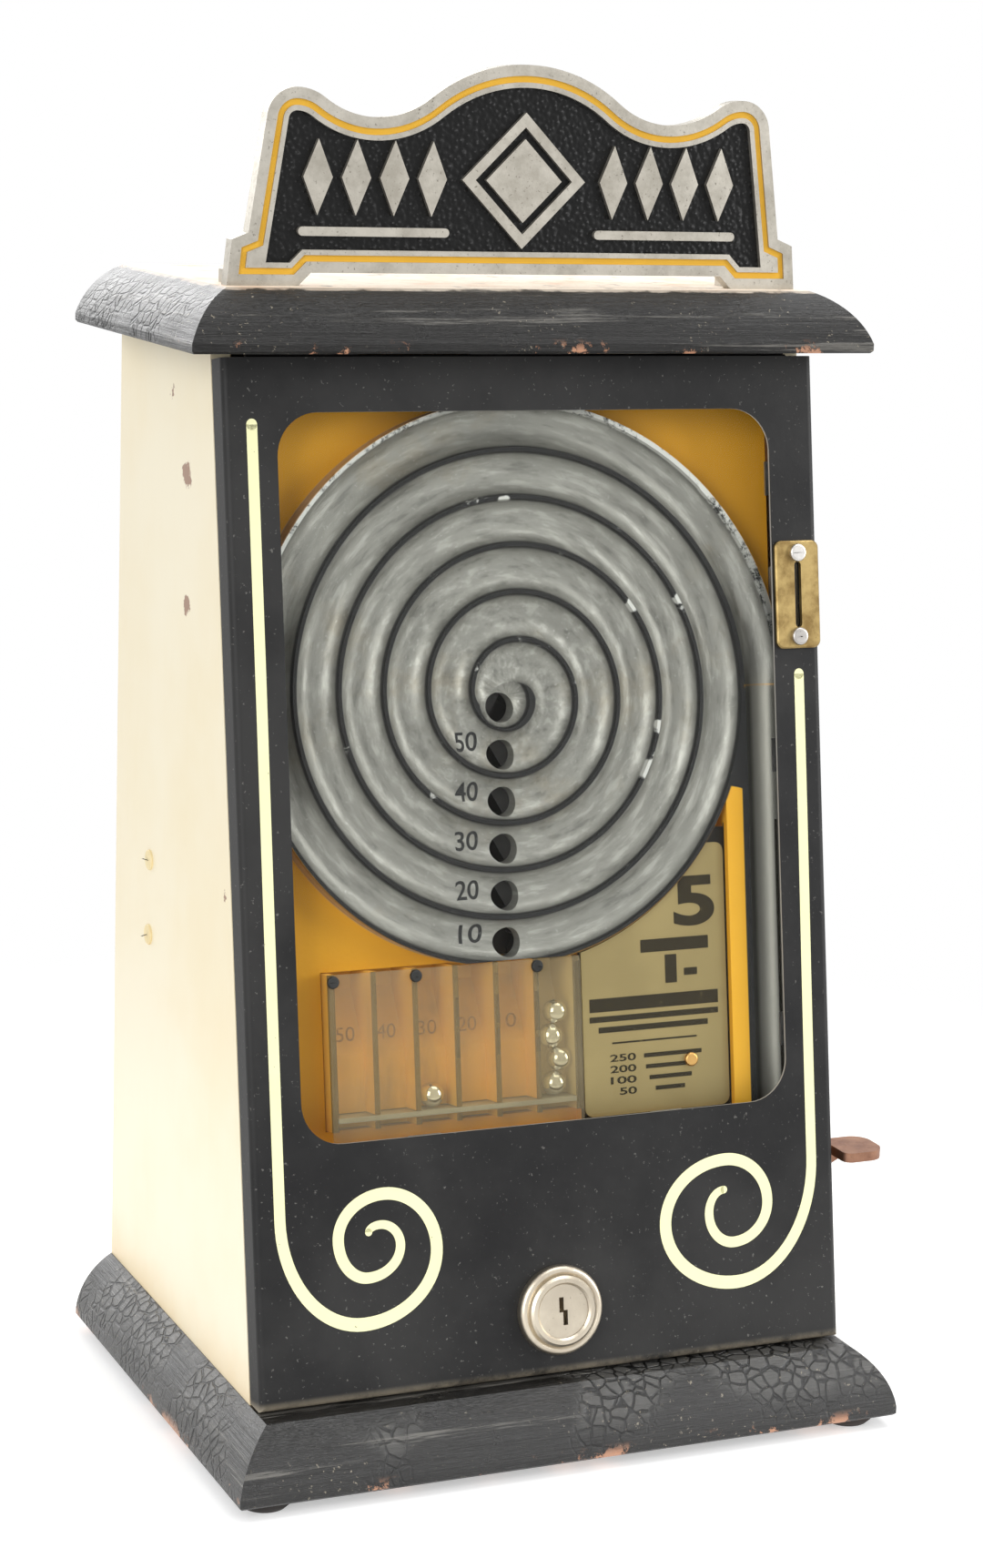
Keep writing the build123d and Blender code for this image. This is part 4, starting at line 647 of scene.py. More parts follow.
def track_metal(p, dx, dy, radius):
    grey = p.mix(p.noise(45.0, 6.0, 0.65), (0.375, 0.37, 0.335), (0.25, 0.247, 0.222))
    bent = p.node("ShaderNodeCombineXYZ")
    p.join(p.times(p.math("DIVIDE", dx, radius), 5.0), bent.inputs[0])
    p.join(p.times(p.math("DIVIDE", dy, radius), 5.0), bent.inputs[1])
    p.join(p.times(radius, 0.35), bent.inputs[2])
    rolled = p.noise(1.0, 3.0, 0.6, vector=bent.outputs[0])
    grey = p.mix(p.times(p.band(rolled, 0.50, 0.70), 0.4), grey, (0.64, 0.635, 0.58))
    grey = p.mix(p.times(p.band(rolled, 0.48, 0.30), 0.5), grey, (0.13, 0.128, 0.115))
    stain = p.band(p.noise(24.0, 6.0, 0.7), 0.54, 0.72)
    grey = p.mix(p.times(stain, 0.35), grey, (0.30, 0.25, 0.165))
    grey = p.mix(wear(p, 0.60, 0.75, 1200.0), grey, (0.52, 0.52, 0.48))
    # The groove sides up towards the ridges are darkened: partly grime, partly painted shade.
    grime_and_shade = p.times(p.band(p.deep, 11.4, 8.2), p.blend(p.noise(80.0, 5.0, 0.7), 0.35, 0.95))
    grey = p.mix(grime_and_shade, grey, (0.05, 0.05, 0.046))
    # The lane is painted dark at its sides as painted shade, with a painted highlight down its middle.
    lane = p.times(p.band(p.across, 76.5, 78.0), p.band(p.along, 226.0, 214.0))
    lane_highlight = p.band(p.size_of(p.minus(p.across, LANE_MIDDLE)), 4.0, 1.6)
    return p.mix(lane, grey, p.mix(lane_highlight, (0.11, 0.108, 0.095), (0.42, 0.41, 0.36)))


print("lane middle", LANE_MIDDLE, "mm right of the cabinet's middle")

# %% [markdown]
# The black of the ridges is rubbed through here and there: along the outer rim in the upper half, in
# scattered specks, and in a few larger spots that the photograph shows.

# %% Ridges
RUBBED_SPOTS = ((-6, 279.4, 2.4), (38, 246, 2.8), (54.6, 247.4, 2.2), (46.4, 206, 2.4), (42, 192, 4.2))


def ridge_black(p, radius, limit):
    """The colour of the ridges, and where their paint is gone."""
    black = p.mix(p.noise(300.0), (0.010, 0.010, 0.010), (0.03, 0.03, 0.03))
    outer = p.band(p.minus(limit, radius), 3.2, 2.2)
    brushed = p.times(p.band(p.along, 225.0, 262.0), p.band(p.noise(60.0, 6.0, 0.8), 0.40, 0.5))
    specks = p.times(p.band(p.noise(85.0, 6.0, 0.8), 0.63, 0.68), 0.7)
    rubbed_and_sheen = p.either(specks, p.times(outer, brushed))
    ragged = p.times(p.minus(p.noise(260.0, 5.0, 0.7), 0.5), 4.0)
    for x, s, size in RUBBED_SPOTS:
        over = p.math("POWER", p.minus(p.across, x), 2.0)
        high = p.math("POWER", p.minus(p.along, s), 2.0)
        gap = p.plus(p.math("SQRT", p.plus(over, high)), ragged)
        rubbed_and_sheen = p.either(rubbed_and_sheen, p.band(gap, size, size * 0.7))
    return p.mix(rubbed_and_sheen, black, (0.62, 0.62, 0.58)), rubbed_and_sheen


print("rubbed spots", len(RUBBED_SPOTS))

# %% [markdown]
# The yellow is one coat. The top of the raised rib beside the lane is painted a brighter yellow as a
# painted highlight, and the pad under the card is painted black as painted shade in the gap round the
# card. Masks then lay the finishes over each other: yellow first, the track and its ridges on it, the
# apron below the spiral yellow again, and the painted shade of the pad last.

# %% Casting
RIB_EDGE_LOW, RIB_EDGE_HIGH, RIB_STEP = 75.6, 69.0, 185.0
RIB_LEFT, LANE_TOP, APRON_TOP = 69.4, 218.0, 79.7
PAD_LEFT, PAD_TOP, PAD_FACE = 14.8, 173.2, 10.8


def playfield_paint():
    p = Paint("Playfield casting")
    dx, dy, radius, limit = spiral(p)
    disc = p.before(p.minus(radius, limit), 0.0, 0.35)
    rib_edge = p.blend(p.past(p.along, RIB_STEP, 1.0), RIB_EDGE_LOW, RIB_EDGE_HIGH)
    lane = p.times(p.past(p.minus(p.across, rib_edge), 0.0, 0.2), p.before(p.along, LANE_TOP, 1.0))
    track = p.either(disc, lane)
    top = p.band(p.deep, 9.8, 8.9)
    ridge, rubbed_and_sheen = ridge_black(p, radius, limit)
    trackside = p.mix(top, track_metal(p, dx, dy, radius), ridge)

    gold = p.mix(p.noise(18.0, 5.0, 0.6), (0.86, 0.42, 0.026), (0.68, 0.32, 0.016))
    # The top of the raised rib is painted a brighter yellow: a painted highlight.
    lit_rib_top = p.times(p.past(p.across, RIB_LEFT, 0.2), p.band(p.deep, 8.5, 8.2))
    gold = p.mix(lit_rib_top, gold, p.mix(p.noise(40.0), (0.92, 0.50, 0.045), (0.84, 0.42, 0.03)))
    worn = p.times(p.band(p.noise(500.0, 5.0, 0.8), 0.74, 0.82), 0.6)
    gold = p.mix(worn, gold, (0.90, 0.74, 0.45))

    tone = p.mix(track, gold, trackside)
    apron = p.times(p.before(p.along, APRON_TOP, 0.2), p.before(p.deep, 15.0, 0.5))
    tone = p.mix(apron, tone, gold)
    # The pad under the card is painted black: painted shade in the gap round the card.
    card_gap_shade = p.band(p.size_of(p.minus(p.deep, PAD_FACE)), 0.5, 0.4)
    card_gap_shade = p.times(card_gap_shade, p.past(p.across, PAD_LEFT, 0.2), p.before(p.along, PAD_TOP, 0.2), p.minus(1.0, disc))
    tone = p.mix(card_gap_shade, tone, (0.014, 0.012, 0.009))
    unpainted = p.minus(1.0, p.times(top, p.minus(1.0, rubbed_and_sheen)))
    bare = p.times(track, unpainted)
    p.set(Base_Color=tone, Metallic=p.times(bare, 0.55), Roughness=p.blend(track, 0.38, 0.44))
    p.set(Specular_IOR_Level=0.2, Normal=p.bump(p.noise(420.0, 5.0, 0.6), 0.00009))
    return p.material


casting_paint = playfield_paint()
print("casting nodes", len(casting_paint.node_tree.nodes))

# %% [markdown]
# ## Card and columns
# The card is a dull brass plate, darker towards its right edge. The columns under the spiral are painted
# orange, the last one left dull, and the fronts of the walls between them are painted dark: partly their
# dark edges and partly painted shade beside them.
# Thin dark strips could stand for those fronts, but they are part of the tray, so depth picks them out.


# %% Card and columns
def card_brass():
    p = Paint("Card brass")
    tone = p.mix(p.band(p.noise(22.0, 5.0, 0.6), 0.35, 0.7), (0.37, 0.285, 0.118), (0.29, 0.22, 0.088))
    tone = p.mix(p.times(p.band(p.across, 34.0, 66.0), 0.35), tone, (0.20, 0.15, 0.055))
    tone = p.mix(wear(p, 0.66, 0.78), tone, (0.16, 0.11, 0.04))
    brush = p.noise(14.0, 6.0, 0.7, vector=p.stretch((4, 60, 60)))
    p.set(Base_Color=tone, Metallic=0.3, Roughness=p.blend(brush, 0.36, 0.52))
    p.set(Normal=p.bump(brush, 0.00003))
    return p.material


def column_paint():
    p = Paint("Column paint")
    tone = p.mix(p.noise(40.0, 5.0, 0.6), (1.0, 0.62, 0.12), (0.86, 0.50, 0.085))
    dull = p.mix(p.noise(30.0, 5.0, 0.6), (0.90, 0.73, 0.42), (0.76, 0.60, 0.33))
    tone = p.mix(p.band(p.across, -0.4, 0.4), tone, dull)
    smear = p.noise(20.0, 6.0, 0.7, vector=p.stretch((3, 3, 0.6)))
    tone = p.mix(p.times(p.band(smear, 0.52, 0.75), 0.5), tone, (0.34, 0.24, 0.11))
    # The fronts of the walls are painted dark: partly their dark edges, partly painted shade.
    tone = p.mix(p.times(p.band(p.deep, 10.4, 9.7), 0.85), tone, (0.055, 0.036, 0.016))
    p.set(Base_Color=tone, Roughness=p.blend(p.noise(140.0), 0.36, 0.56))
    p.set(Normal=p.bump(p.noise(700.0, 3.0), 0.00004))
    return p.material


card_paint, tray_paint = card_brass(), column_paint()
print("card and columns", card_paint.name, tray_paint.name)

# %% [markdown]
# ## Sign
# The sign is cast metal with a bright rim and ornament, a yellow line in its groove and a black pebbled
# ground in the sunk field. Its relief is in the solid, so the material needs only to read how deep each
# point lies behind the rim. The pebbles are smooth cells, too fine to model, and the back is rough cast.

# %% Sign
RIM_FACE = -8.638
PEBBLES_PER_METRE = 640.0


def sign_finish():
    p = Paint("Sign casting")
    sunk_by = p.minus(p.rearward, RIM_FACE)
    front = p.band(p.facing((0, -1, 0)), 0.6, 0.8)
    sunk = p.times(p.band(sunk_by, 1.2, 1.4), front)
    line = p.times(p.band(sunk_by, 0.45, 0.6), p.band(sunk_by, 1.0, 0.85), front)
    silver = p.mix(p.band(p.noise(60.0, 6.0, 0.7), 0.35, 0.68), (0.51, 0.48, 0.42), (0.36, 0.335, 0.285))
    silver = p.mix(wear(p, 0.60, 0.74), silver, (0.15, 0.135, 0.11))
    pebble = p.cells(PEBBLES_PER_METRE, feature="SMOOTH_F1")
    ground = p.mix(p.band(pebble, 0.25, 0.05), (0.004, 0.004, 0.004), (0.026, 0.026, 0.026))
    yellow = p.mix(p.noise(70.0, 5.0), (0.86, 0.50, 0.06), (0.70, 0.37, 0.03))
    tone = p.mix(sunk, p.mix(line, silver, yellow), ground)
    rough_cast = p.mix(p.noise(90.0, 6.0, 0.7), (0.36, 0.35, 0.32), (0.22, 0.215, 0.20))
    tone = p.mix(p.band(p.facing((0, 1, 0)), 0.6, 0.8), tone, rough_cast)
    shiny = p.minus(1.0, p.either(sunk, line))
    p.set(Base_Color=tone, Metallic=p.times(shiny, 0.85), Roughness=p.blend(p.noise(200.0), 0.32, 0.48))
    fine = p.bump(p.noise(700.0, 4.0), 0.00006)
    p.set(Specular_IOR_Level=0.2)
    p.set(Normal=p.bump(p.times(sunk, p.minus(1.0, pebble)), 0.0006, 0.8, under=fine))
    return p.material


sign_paint = sign_finish()
print("sign", sign_paint.name)

# %% [markdown]
# ## Dress the CAD nodes
# Every CAD node already has the shape of its piece, and takes one of the finishes made above. A list by
# finish shows at a glance which pieces a workshop would have painted or plated together.

# %% Dress the nodes
dress = {
    base_black: ["base_plank"],
    top_black: ["top_plank"],
    cream: ["left_side_board", "right_side_board", "back_board"],
    pine: ["corner_blocks", "left_cleat", "right_cleats"],
    rubber: ["glide_feet"],
    sign_paint: ["marquee_casting"],
    casting_paint: ["playfield_casting"],
    tray_paint: ["column_tray"],
    cover_sheet: ["column_cover"],
    window_glass: ["window_glass"],
    door_paint: ["door_panel"],
    card_paint: ["instruction_card"],
    # The ball runway takes black iron so that the score holes look dark: painted shade.
    black_iron_and_shade: ["ball_runway", "hinge_leaf_top", "hinge_leaf_door", "hinge_pin"],
    rivet_brass: ["card_rivet", "trip_weight"],
    ball_steel: ["steel_balls"],
    coin_brass: ["coin_plate"],
    copper: ["kick_lever"],
    nickel: ["lock_bezel", "lock_plug"],
    screw_metal: ["coin_plate_screws", "marquee_screws", "bracket_screws", "back_screws"],
    dark_screw: ["cover_screws", "playfield_screws"],
    painted_screw: ["side_screws"],
    tin: ["coin_chute", "cash_box", "ball_gate"],
    felt: ["lever_stop"],
    steel: [
        "lock_keeper", "lock_nut", "lock_cam", "glass_clips", "lever_bracket", "lever_pin",
        "spring_seat", "lever_spring", "trip_hangers", "trip_shaft", "gate_arm", "coin_pan",
    ],
}
for material, names in dress.items():
    for name in names:
        data = nodes[name].data
        data.materials.clear()
        data.materials.append(material)
missed = sorted(set(nodes) - {n for names in dress.values() for n in names})
print("dressed", sum(len(v) for v in dress.values()), "missed", missed)

# %% [markdown]
# ## Floor
# The machine stands on a white table that keeps the soft shadow under its feet. A plain white plane
# would turn grey towards the back, so this one glows a little and fades out into the white world.

# %% Floor
FADE_FROM, FADE_TO = 0.32, 0.55


def table_white():
    p = Paint("White table")
    away = p.node("ShaderNodeVectorMath", operation="LENGTH")
    p.join(p.coords, away.inputs[0])
    p.set(Base_Color=p.mix(p.noise(60.0), (0.72, 0.72, 0.72), (0.70, 0.70, 0.70)), Roughness=0.9)
    p.set(Emission_Color=(1, 1, 1), Emission_Strength=0.42)
    p.set(Alpha=p.band(away.outputs["Value"], FADE_TO, FADE_FROM))
    return p.material


bpy.ops.mesh.primitive_plane_add(size=8.0, location=(0, 0, 0))
floor = bpy.context.object
floor.name = "Floor"
floor.data.materials.append(table_white())
print("floor", floor.data.materials[0].name)

# %% [markdown]
# ## Trees that make pieces
# Stripes, screw slots and the spring each follow a rule, so Geometry Nodes make them from named sizes.
# Built socket by socket a tree takes a page of links, so a small class adds a node and fills its sockets in
# one line. Every tree ends with real instances and a material, because an exported model keeps no
# instances. The result is then baked into a plain mesh.


# %% Tree helpers
class Tree:
    """A Geometry Nodes tree with a geometry in and out, named sizes and a paint."""

    def __init__(self, name, *sizes):
        self.group = bpy.data.node_groups.new(name, "GeometryNodeTree")
        new_socket = self.group.interface.new_socket
        new_socket("Geometry", in_out="INPUT", socket_type="NodeSocketGeometry")
        for size in sizes:
            new_socket(size, in_out="INPUT", socket_type="NodeSocketFloat")
        new_socket("Paint", in_out="INPUT", socket_type="NodeSocketMaterial")
        new_socket("Geometry", in_out="OUTPUT", socket_type="NodeSocketGeometry")
        self.inputs = self.group.nodes.new("NodeGroupInput").outputs

    def add(self, kind, setting=None, *ordered, **named):
        """The first output of a new node; its sockets are linked or set, by order or by name."""
        made = self.group.nodes.new(kind)
        if setting:
            setattr(made, *setting)
        sockets = list(zip(made.inputs, ordered))
        sockets += [(made.inputs[name.replace("_", " ")], value) for name, value in named.items()]
        for socket, value in sockets:
            for item in value if isinstance(value, list) else [value]:
                if isinstance(item, bpy.types.NodeSocket):
                    self.group.links.new(item, socket)
                else:
                    socket.default_value = item
        return made.outputs[0]

    def close(self, shape):
        """Make instances real and paint them: the last two nodes of every tree."""
        real = self.add("GeometryNodeRealizeInstances", Geometry=shape)
        coat = self.add("GeometryNodeSetMaterial", Geometry=real, Material=self.inputs["Paint"])
        self.group.links.new(coat, self.group.nodes.new("NodeGroupOutput").inputs["Geometry"])
        return self.group


print("class", Tree.__name__)

# %% [markdown]
# A piece has to be a plain mesh before it can ride on a body, so no modifier is kept. The tree runs on a
# carrier object, its finished shape is copied into a new mesh, and the carrier is thrown away.


# %% Baking
def as_mesh(carrier):
    """The finished shape of an object as a plain mesh."""
    return bpy.data.meshes.new_from_object(carrier.evaluated_get(bpy.context.evaluated_depsgraph_get()))


def baked(name, source, group, **inputs):
    """Run a tree on a curve or a mesh and keep the result as a plain mesh object."""
    carrier = bpy.data.objects.new(name + "_source", source)
    scene.collection.objects.link(carrier)
    modifier = carrier.modifiers.new(group.name, "NODES")
    modifier.node_group = group
    for item in group.interface.items_tree:
        if item.in_out == "INPUT" and item.name in inputs:
            modifier[item.identifier] = inputs[item.name]
    mesh = as_mesh(carrier)
    carrier.modifiers.remove(modifier)
    bpy.data.objects.remove(carrier)
    piece = bpy.data.objects.new(name, mesh)
    scene.collection.objects.link(piece)
    return piece


print("baking ready")

# %% [markdown]
# ## Painted pinstripes
# A sign painter pulled one cream line down each side of the door and curled its foot into a scroll. A
# bevelled curve would give a wire of even width, but a brush line swells and thins. The tree sweeps a
# flat ribbon along a Bezier curve, takes its width from the curve's own radius, and puts a disc on each
# end for the round of the brush.

# %% Pinstripe tree
HALF_WIDTH = 0.5


def brush_line():
    tree = Tree("Brush line", "Width")
    stroke = tree.inputs["Geometry"]
    profile = tree.add("GeometryNodeCurvePrimitiveLine", Start=(-HALF_WIDTH, 0, 0), End=(HALF_WIDTH, 0, 0))
    press = tree.add("GeometryNodeInputRadius")
    width = tree.add("ShaderNodeMath", ("operation", "MULTIPLY"), press, tree.inputs["Width"])
    ribbon = tree.add("GeometryNodeCurveToMesh", Curve=stroke, Profile_Curve=profile, Scale=width)
    disc = tree.add("GeometryNodeMeshCircle", ("fill_type", "NGON"), Vertices=24, Radius=HALF_WIDTH)
    tips = tree.add("GeometryNodeCurveEndpointSelection")
    rounds = tree.add(
        "GeometryNodeInstanceOnPoints", Points=stroke, Selection=tips, Instance=disc, Scale=width
    )
    return tree.close(tree.add("GeometryNodeJoinGeometry", Geometry=[ribbon, rounds]))


brush = brush_line()
print("tree", brush.name, [item.name for item in brush.interface.items_tree])

# %% [markdown]
# Each stroke is written as the points where it runs straight up or straight across, in millimetres on
# the door, with the width of the brush there. Between two such points a quarter ellipse is the
# natural curve, and a Bezier handle 0.5523 of the way draws it. A stroke drawn from many short
# steps would show its corners.

# %% Strokes
QUARTER = 0.5523
STEPS_PER_QUARTER = 20
LEFT_STROKE = (
    (-92.7, 304.1, 3.5), (-93.1, 60.0, 3.6), (-66.5, 24.9, 4.3), (-41.3, 46.4, 4.0), (-58.7, 65.2, 3.9),
    (-74.2, 51.8, 3.7), (-64.6, 39.3, 3.5), (-53.5, 48.7, 3.1), (-60.1, 55.6, 2.7), (-64.0, 53.6, 2.4),
)
RIGHT_STROKE = (
    (93.4, 221.1, 3.5), (93.0, 62.0, 3.6), (64.0, 23.6, 4.3), (38.8, 44.6, 4.1), (61.1, 64.2, 4.0),
    (76.2, 49.3, 3.7), (63.4, 36.8, 3.5), (54.7, 46.8, 3.1), (60.3, 54.3, 2.5),
)


def stroke_curve(name, stroke):
    curve = bpy.data.curves.new(name, "CURVE")
    curve.dimensions = "2D"
    curve.resolution_u = STEPS_PER_QUARTER
    points = curve.splines.new("BEZIER").bezier_points
    points.add(len(stroke) - 1)
    for point, (x, s, width) in zip(points, stroke):
        point.handle_left_type = point.handle_right_type = "FREE"
        point.co = point.handle_left = point.handle_right = (x * MM, s * MM, 0)
        point.radius = width

    def lean(n, step):
        """The part of a step along the stroke's own direction at this point."""
        upright = n == 0 or n % 2 == 1
        return Vector((0, step.y, 0)) if upright else Vector((step.x, 0, 0))

    for n in range(len(stroke) - 1):
        step = (points[n + 1].co - points[n].co) * QUARTER
        points[n].handle_right = points[n].co + lean(n, step)
        points[n + 1].handle_left = points[n + 1].co - lean(n + 1, step)
    return curve


print("strokes of", len(LEFT_STROKE), "and", len(RIGHT_STROKE), "points")

# %% [markdown]
# The strokes are drawn on a flat sheet and laid on the leaning door, a hair in front of it so that the
# two don't fight for the same place. They ride with the door when it lifts. The cream is worn through
# in specks, as brush paint on tin is.

# %% Pinstripes
ON_FACE = 0.06
DOOR_SHEET = Matrix((Vector((1, 0, 0)), UPSLOPE, OUTWARD)).transposed().to_4x4()


def stripe_cream():
    p = Paint("Pinstripe cream")
    tone = p.mix(p.noise(80.0, 5.0, 0.6), (0.93, 0.92, 0.56), (0.88, 0.86, 0.48))
    tone = p.mix(wear(p, 0.69, 0.76, 700.0), tone, (0.20, 0.18, 0.12))
    p.set(Base_Color=tone, Roughness=p.blend(p.noise(200.0), 0.4, 0.6))
    p.set(Normal=p.bump(p.noise(600.0, 3.0), 0.00004))
    return p.material


stripe = stripe_cream()
for name, stroke in (("pinstripe_left", LEFT_STROKE), ("pinstripe_right", RIGHT_STROKE)):
    line = baked(name, stroke_curve(name, stroke), brush, Width=MM, Paint=stripe)
    line.data.transform(Matrix.Translation(on_door(0, 0, ON_FACE)) @ DOOR_SHEET)
    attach(line, "door")
    print(name, len(line.data.polygons), "faces")

# %% [markdown]
# ## Printed figures
# Score figures are stamped beside the holes, fainter ones stand at the head of the columns, and the
# brass card carries numbers and bars. An image of the print would need a UV map on each solid. Text
# objects turned into flat meshes keep their edges sharp at any size, so the print is thin pieces that
# lie on the casting, the tray and the card.


# %% Figures and bars
def figures(body, low, high, weight=0.0):
    """Points and faces of some figures stretched to fill the box from low to high, in mm."""
    curve = bpy.data.curves.new(body, "FONT")
    curve.body = body
    curve.offset = weight
    carrier = bpy.data.objects.new(body, curve)
    scene.collection.objects.link(carrier)
    mesh = as_mesh(carrier)
    bpy.data.objects.remove(carrier)
    xs = [v.co.x for v in mesh.vertices]
    ys = [v.co.y for v in mesh.vertices]
    wide = (high[0] - low[0]) / (max(xs) - min(xs))
    tall = (high[1] - low[1]) / (max(ys) - min(ys))
    points = [(low[0] + (x - min(xs)) * wide, low[1] + (y - min(ys)) * tall) for x, y in zip(xs, ys)]
    return points, [list(f.vertices) for f in mesh.polygons]


def bar(x0, x1, s, height):
    corners = [(x0, s - height / 2), (x1, s - height / 2), (x1, s + height / 2), (x0, s + height / 2)]
    return corners, [[0, 1, 2, 3]]


print("a bar has", len(bar(0, 1, 0, 1)[0]), "corners")

# %% [markdown]
# All the marks of one print share one mesh, so that they are one piece on the machine. The ink is dark and
# matte, and worn through in specks. A decal on a plane would float off any surface that isn't flat,
# so each print is told where its points lie.


# %% Printing and ink
def printed(name, marks, paint, place, strips=()):
    """One mesh of all the marks; place turns a point of the drawing into a point of the object."""
    sheet = bmesh.new()
    for points, faces in marks:
        corners = [sheet.verts.new((x, s, 0)) for x, s in points]
        for face in faces:
            sheet.faces.new([corners[n] for n in face])
    for s in strips:
        everything = sheet.verts[:] + sheet.edges[:] + sheet.faces[:]
        bmesh.ops.bisect_plane(sheet, geom=everything, plane_co=(0, s, 0), plane_no=(0, 1, 0))
    for corner in sheet.verts:
        corner.co = place(corner.co.x, corner.co.y)
    mesh = bpy.data.meshes.new(name)
    sheet.to_mesh(mesh)
    sheet.free()
    mesh.materials.append(paint)
    piece = bpy.data.objects.new(name, mesh)
    scene.collection.objects.link(piece)
    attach(piece, "cabinet")
    print(name, len(mesh.polygons), "faces")


def ink(name, colour, faded, cover=0.5):
    p = Paint(name)
    rubbed_and_sheen = p.band(p.noise(420.0, 5.0, 0.75), cover + 0.1, cover + 0.22)
    p.set(Base_Color=p.mix(rubbed_and_sheen, colour, faded), Roughness=p.blend(p.noise(200.0), 0.5, 0.7))
    p.set(Specular_IOR_Level=0.1, Normal=p.bump(p.noise(900.0, 2.0), 0.00002))
    return p.material


print("printing ready")

# %% [markdown]
# The score figures lie in the hollow of the track. A Shrinkwrap modifier could press them onto it, but
# their long flat faces would cut through the curve. So the sheet is first cut into narrow strips, and
# each of its points is then dropped onto the casting, straight in from the door.

# %% Score figures
SCORES = (
    (50, -20.2, 203.9), (40, -20.5, 188.0), (30, -21.0, 172.4), (20, -21.3, 156.7), (10, -20.8, 142.8),
)
HALF_WIDE, HALF_TALL = 4.0, 3.1
STAMP_WEIGHT = 0.012
STRIP = 0.6
face_finder = BVHTree.FromObject(nodes["playfield_casting"], bpy.context.evaluated_depsgraph_get())


def on_casting(x, s):
    hit = face_finder.ray_cast(on_door(x, s), -OUTWARD)[0]
    return hit + OUTWARD * (ON_FACE * MM)


score_marks = [
    figures(str(score), (x - HALF_WIDE, s - HALF_TALL), (x + HALF_WIDE, s + HALF_TALL), STAMP_WEIGHT)
    for score, x, s in SCORES
]
strips = [s + STRIP * step for _, _, s in SCORES for step in range(-5, 6)]
score_ink = ink("Score ink", (0.045, 0.045, 0.045), (0.12, 0.12, 0.12))
printed("score_figures", score_marks, score_ink, on_casting, strips)

# %% [markdown]
# The same scores stand at the head of the columns, in brown that has almost gone. The back of the tray
# is flat there, so these figures need no cutting.

# %% Column figures
COLUMNS = ((50, -62.7), (40, -48.8), (30, -34.8), (20, -20.9), (10, -6.9))
COLUMN_BACK = 17.9
COLUMN_LOW, COLUMN_HIGH, COLUMN_HALF = 111.2, 115.8, 3.2
column_marks = [
    figures(str(score), (x - COLUMN_HALF, COLUMN_LOW), (x + COLUMN_HALF, COLUMN_HIGH))
    for score, x in COLUMNS
]
column_ink = ink("Column ink", (0.30, 0.15, 0.04), (0.55, 0.29, 0.06), 0.42)
printed("column_figures", column_marks, column_ink, lambda x, s: on_door(x, s, ON_FACE - COLUMN_BACK))

# %% [markdown]
# The card has a large number, a few bars of different weight, and a small table of prizes in which each
# number has a bar beside it. Bars and figures share one sheet and one ink, so they wear alike.

# %% Card print
CARD_FACE = 10.0
PRIZE_EDGE, DIGIT, FIRST_ROW, ROW_STEP = 34.9, 3.1, 99.1, 3.65
PRIZES = ((250, 37.8, 58.8), (200, 38.4, 57.0), (100, 39.6, 55.0), (50, 41.7, 52.4))
card_marks = [
    figures("5", (50.1, 140.2), (65.0, 156.6), 0.03),
    bar(37.7, 62.3, 134.7, 4.2),
    figures("1", (46.4, 122.1), (50.6, 131.4), 0.03),
    bar(53.2, 58.0, 125.4, 2.4),
    bar(18.8, 65.4, 116.6, 4.4),
    bar(18.7, 65.3, 112.0, 1.9),
    bar(21.8, 61.4, 108.5, 1.9),
    bar(26.5, 57.2, 104.0, 0.6),
]
for row, (prize, bar_from, bar_to) in enumerate(PRIZES):
    s = FIRST_ROW - ROW_STEP * row
    number_from = PRIZE_EDGE - DIGIT * len(str(prize))
    card_marks.append(figures(str(prize), (number_from, s - 1.2), (PRIZE_EDGE, s + 1.2), 0.02))
    card_marks.append(bar(bar_from, bar_to, s, 1.4))
card_ink = ink("Card ink", (0.035, 0.028, 0.016), (0.13, 0.10, 0.045))
printed("card_print", card_marks, card_ink, lambda x, s: on_door(x, s, ON_FACE - CARD_FACE))

# %% [markdown]
# ## Screw slots
# The screws that show are slotted. Cutting each head would change the solids for a mark under a
# millimetre wide, so the tree lays one dark strip on every head. The points carry which way the head
# faces, how long its slot is and how far the screw happened to be turned.


# %% Screw slot tree
def slot_tree():
    tree = Tree("Screw slots", "Slot width")

    def stored(name, kind):
        return tree.add("GeometryNodeInputNamedAttribute", ("data_type", kind), Name=name)

    strip = tree.add("GeometryNodeMeshGrid", Size_X=1.0, Size_Y=1.0, Vertices_X=2, Vertices_Y=2)
    way = stored("facing", "FLOAT_VECTOR")
    aim = tree.add("FunctionNodeAlignRotationToVector", ("axis", "Z"), Vector=way)
    spin = tree.add("FunctionNodeAxisAngleToRotation", Axis=(0, 0, 1), Angle=stored("turned", "FLOAT"))
    both = tree.add("FunctionNodeRotateRotation", ("rotation_space", "LOCAL"), Rotation=aim, Rotate_By=spin)
    size = tree.add("ShaderNodeCombineXYZ", X=stored("reach", "FLOAT"), Y=tree.inputs["Slot width"], Z=1.0)
    heads = tree.inputs["Geometry"]
    return tree.close(
        tree.add("GeometryNodeInstanceOnPoints", Points=heads, Instance=strip, Rotation=both, Scale=size)
    )


slots = slot_tree()
print("tree", slots.name, [item.name for item in slots.interface.items_tree])

# %% [markdown]
# The heads are listed by where they hold: the cover of the columns, the side boards, the back board, the
# sign, and the coin plate on the door. No two screws stop at the same angle, so each has its own turn.
# The door's two are a piece of their own, because a piece rides on one body.

# %% Screw heads
COVER_SCREWS = ((-69.7, 20), (-41.8, 75), (0.05, 140))
SIDE_SCREWS = ((149.5, 35), (174.8, 110))
BACK_SCREWS = ((39.5, 15), (72.5, 80), (300.5, 130), (333.5, 55))
COIN_PLATE_SCREWS = ((233.4, 65), (260.6, 10))


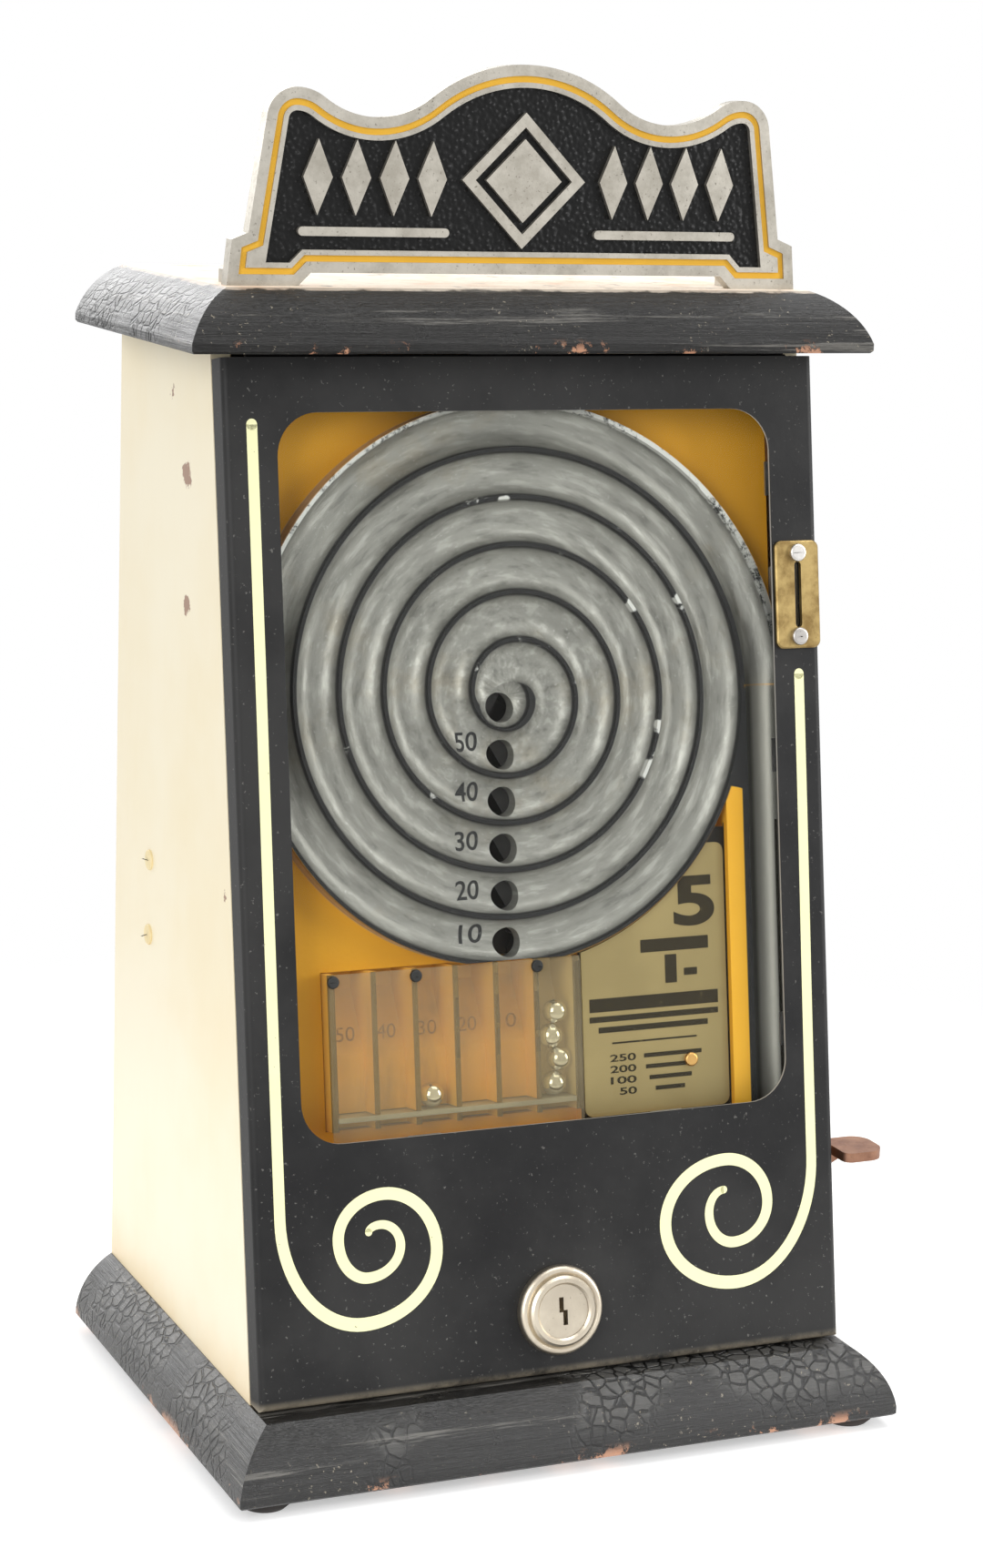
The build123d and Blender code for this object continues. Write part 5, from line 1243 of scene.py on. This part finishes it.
def head(place, facing, reach, turned):
    return Vector(place), Vector(facing), reach, math.radians(turned)


def at(x, y, z):
    return x * MM, y * MM, z * MM


cabinet_heads = [head(on_door(x, 131.3, ON_FACE - 7.6), OUTWARD, 2.7, turn) for x, turn in COVER_SCREWS]
for side in (-1, 1):
    for z, turn in SIDE_SCREWS:
        cabinet_heads.append(head(at(side * (102.3 + ON_FACE), 46.5, z), (side, 0, 0), 5.6, turn))
    for z, turn in BACK_SCREWS:
        cabinet_heads.append(head(at(side * 88, 85.1 + ON_FACE, z), (0, 1, 0), 4.0, turn + side * 12))
    cabinet_heads.append(head(at(side * 86, 3.5, 371.9 + ON_FACE), (0, 0, 1), 4.0, 40 * side))
door_heads = [head(on_door(93.2, s, ON_FACE + 2.9), OUTWARD, 4.0, turn) for s, turn in COIN_PLATE_SCREWS]
print("heads", len(cabinet_heads), "on the cabinet,", len(door_heads), "on the door")

# %% [markdown]
# What a head has to say goes into named attributes of its point, which the tree reads back. One mesh of
# points for each body is enough, because a tree treats all points alike.

# %% Screw slots
SLOT_WIDTH = 0.7
slot_dark = ink("Slot shadow", (0.02, 0.018, 0.015), (0.05, 0.045, 0.04))
for body, heads in (("cabinet", cabinet_heads), ("door", door_heads)):
    name = "screw_slots_" + body
    points = bpy.data.meshes.new(name + "_points")
    points.from_pydata([h[0] for h in heads], [], [])
    facing = points.attributes.new("facing", "FLOAT_VECTOR", "POINT")
    reach = points.attributes.new("reach", "FLOAT", "POINT")
    turned = points.attributes.new("turned", "FLOAT", "POINT")
    for n, (_, way, length, angle) in enumerate(heads):
        facing.data[n].vector = way
        reach.data[n].value = length * MM
        turned.data[n].value = angle
    cut = baked(name, points, slots, **{"Slot width": SLOT_WIDTH * MM, "Paint": slot_dark})
    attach(cut, body)
    print(name, len(cut.data.polygons), "slots")

# %% [markdown]
# ## Return spring
# The lever rests on a coil spring that shortens when the paddle is pressed. A rigid solid would be
# driven into by the lever. The tree winds the same coil from its radius, wire, height and turns.

# %% Coil tree
WIRE = 0.6
COIL = {"Coil radius": 4.5 * MM, "Wire radius": WIRE * MM, "Free height": 48.28 * MM, "Turns": 7.0}


def coil_tree():
    tree = Tree("Coil spring", *COIL)
    radius, wire_radius, free_height, turns = (tree.inputs[size] for size in COIL)
    path = tree.add(
        "GeometryNodeCurveSpiral", Resolution=32, Rotations=turns, Start_Radius=radius, End_Radius=radius,
        Height=free_height,
    )
    wire = tree.add("GeometryNodeCurvePrimitiveCircle", Resolution=12, Radius=wire_radius)
    return tree.close(tree.add("GeometryNodeCurveToMesh", Curve=path, Profile_Curve=wire, Fill_Caps=True))


coil = coil_tree()
print("tree", coil.name, [item.name for item in coil.interface.items_tree])

# %% [markdown]
# The swept tube is a closed skin only when the points at its caps are merged, and its faces then have to be
# turned outwards. Its signed volume is then worked out. At full stroke the spring keeps 0.775 of its
# height.

# %% Return spring
COIL_FOOT = Vector((62.0, -49.308, 27.811)) * MM
spring = baked("return_spring", bpy.data.meshes.new("coil_seed"), coil, Paint=steel, **COIL)
spring.data.transform(Matrix.Translation(COIL_FOOT + Vector((0, 0, WIRE * MM))))
shell = bmesh.new()
shell.from_mesh(spring.data)
bmesh.ops.remove_doubles(shell, verts=shell.verts, dist=0.01 * MM)
bmesh.ops.recalc_face_normals(shell, faces=shell.faces)
shell.to_mesh(spring.data)
volume = shell.calc_volume(signed=True) / MM**3
shell.free()
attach(spring, "cabinet")
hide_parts("lever_spring")
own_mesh(spring)
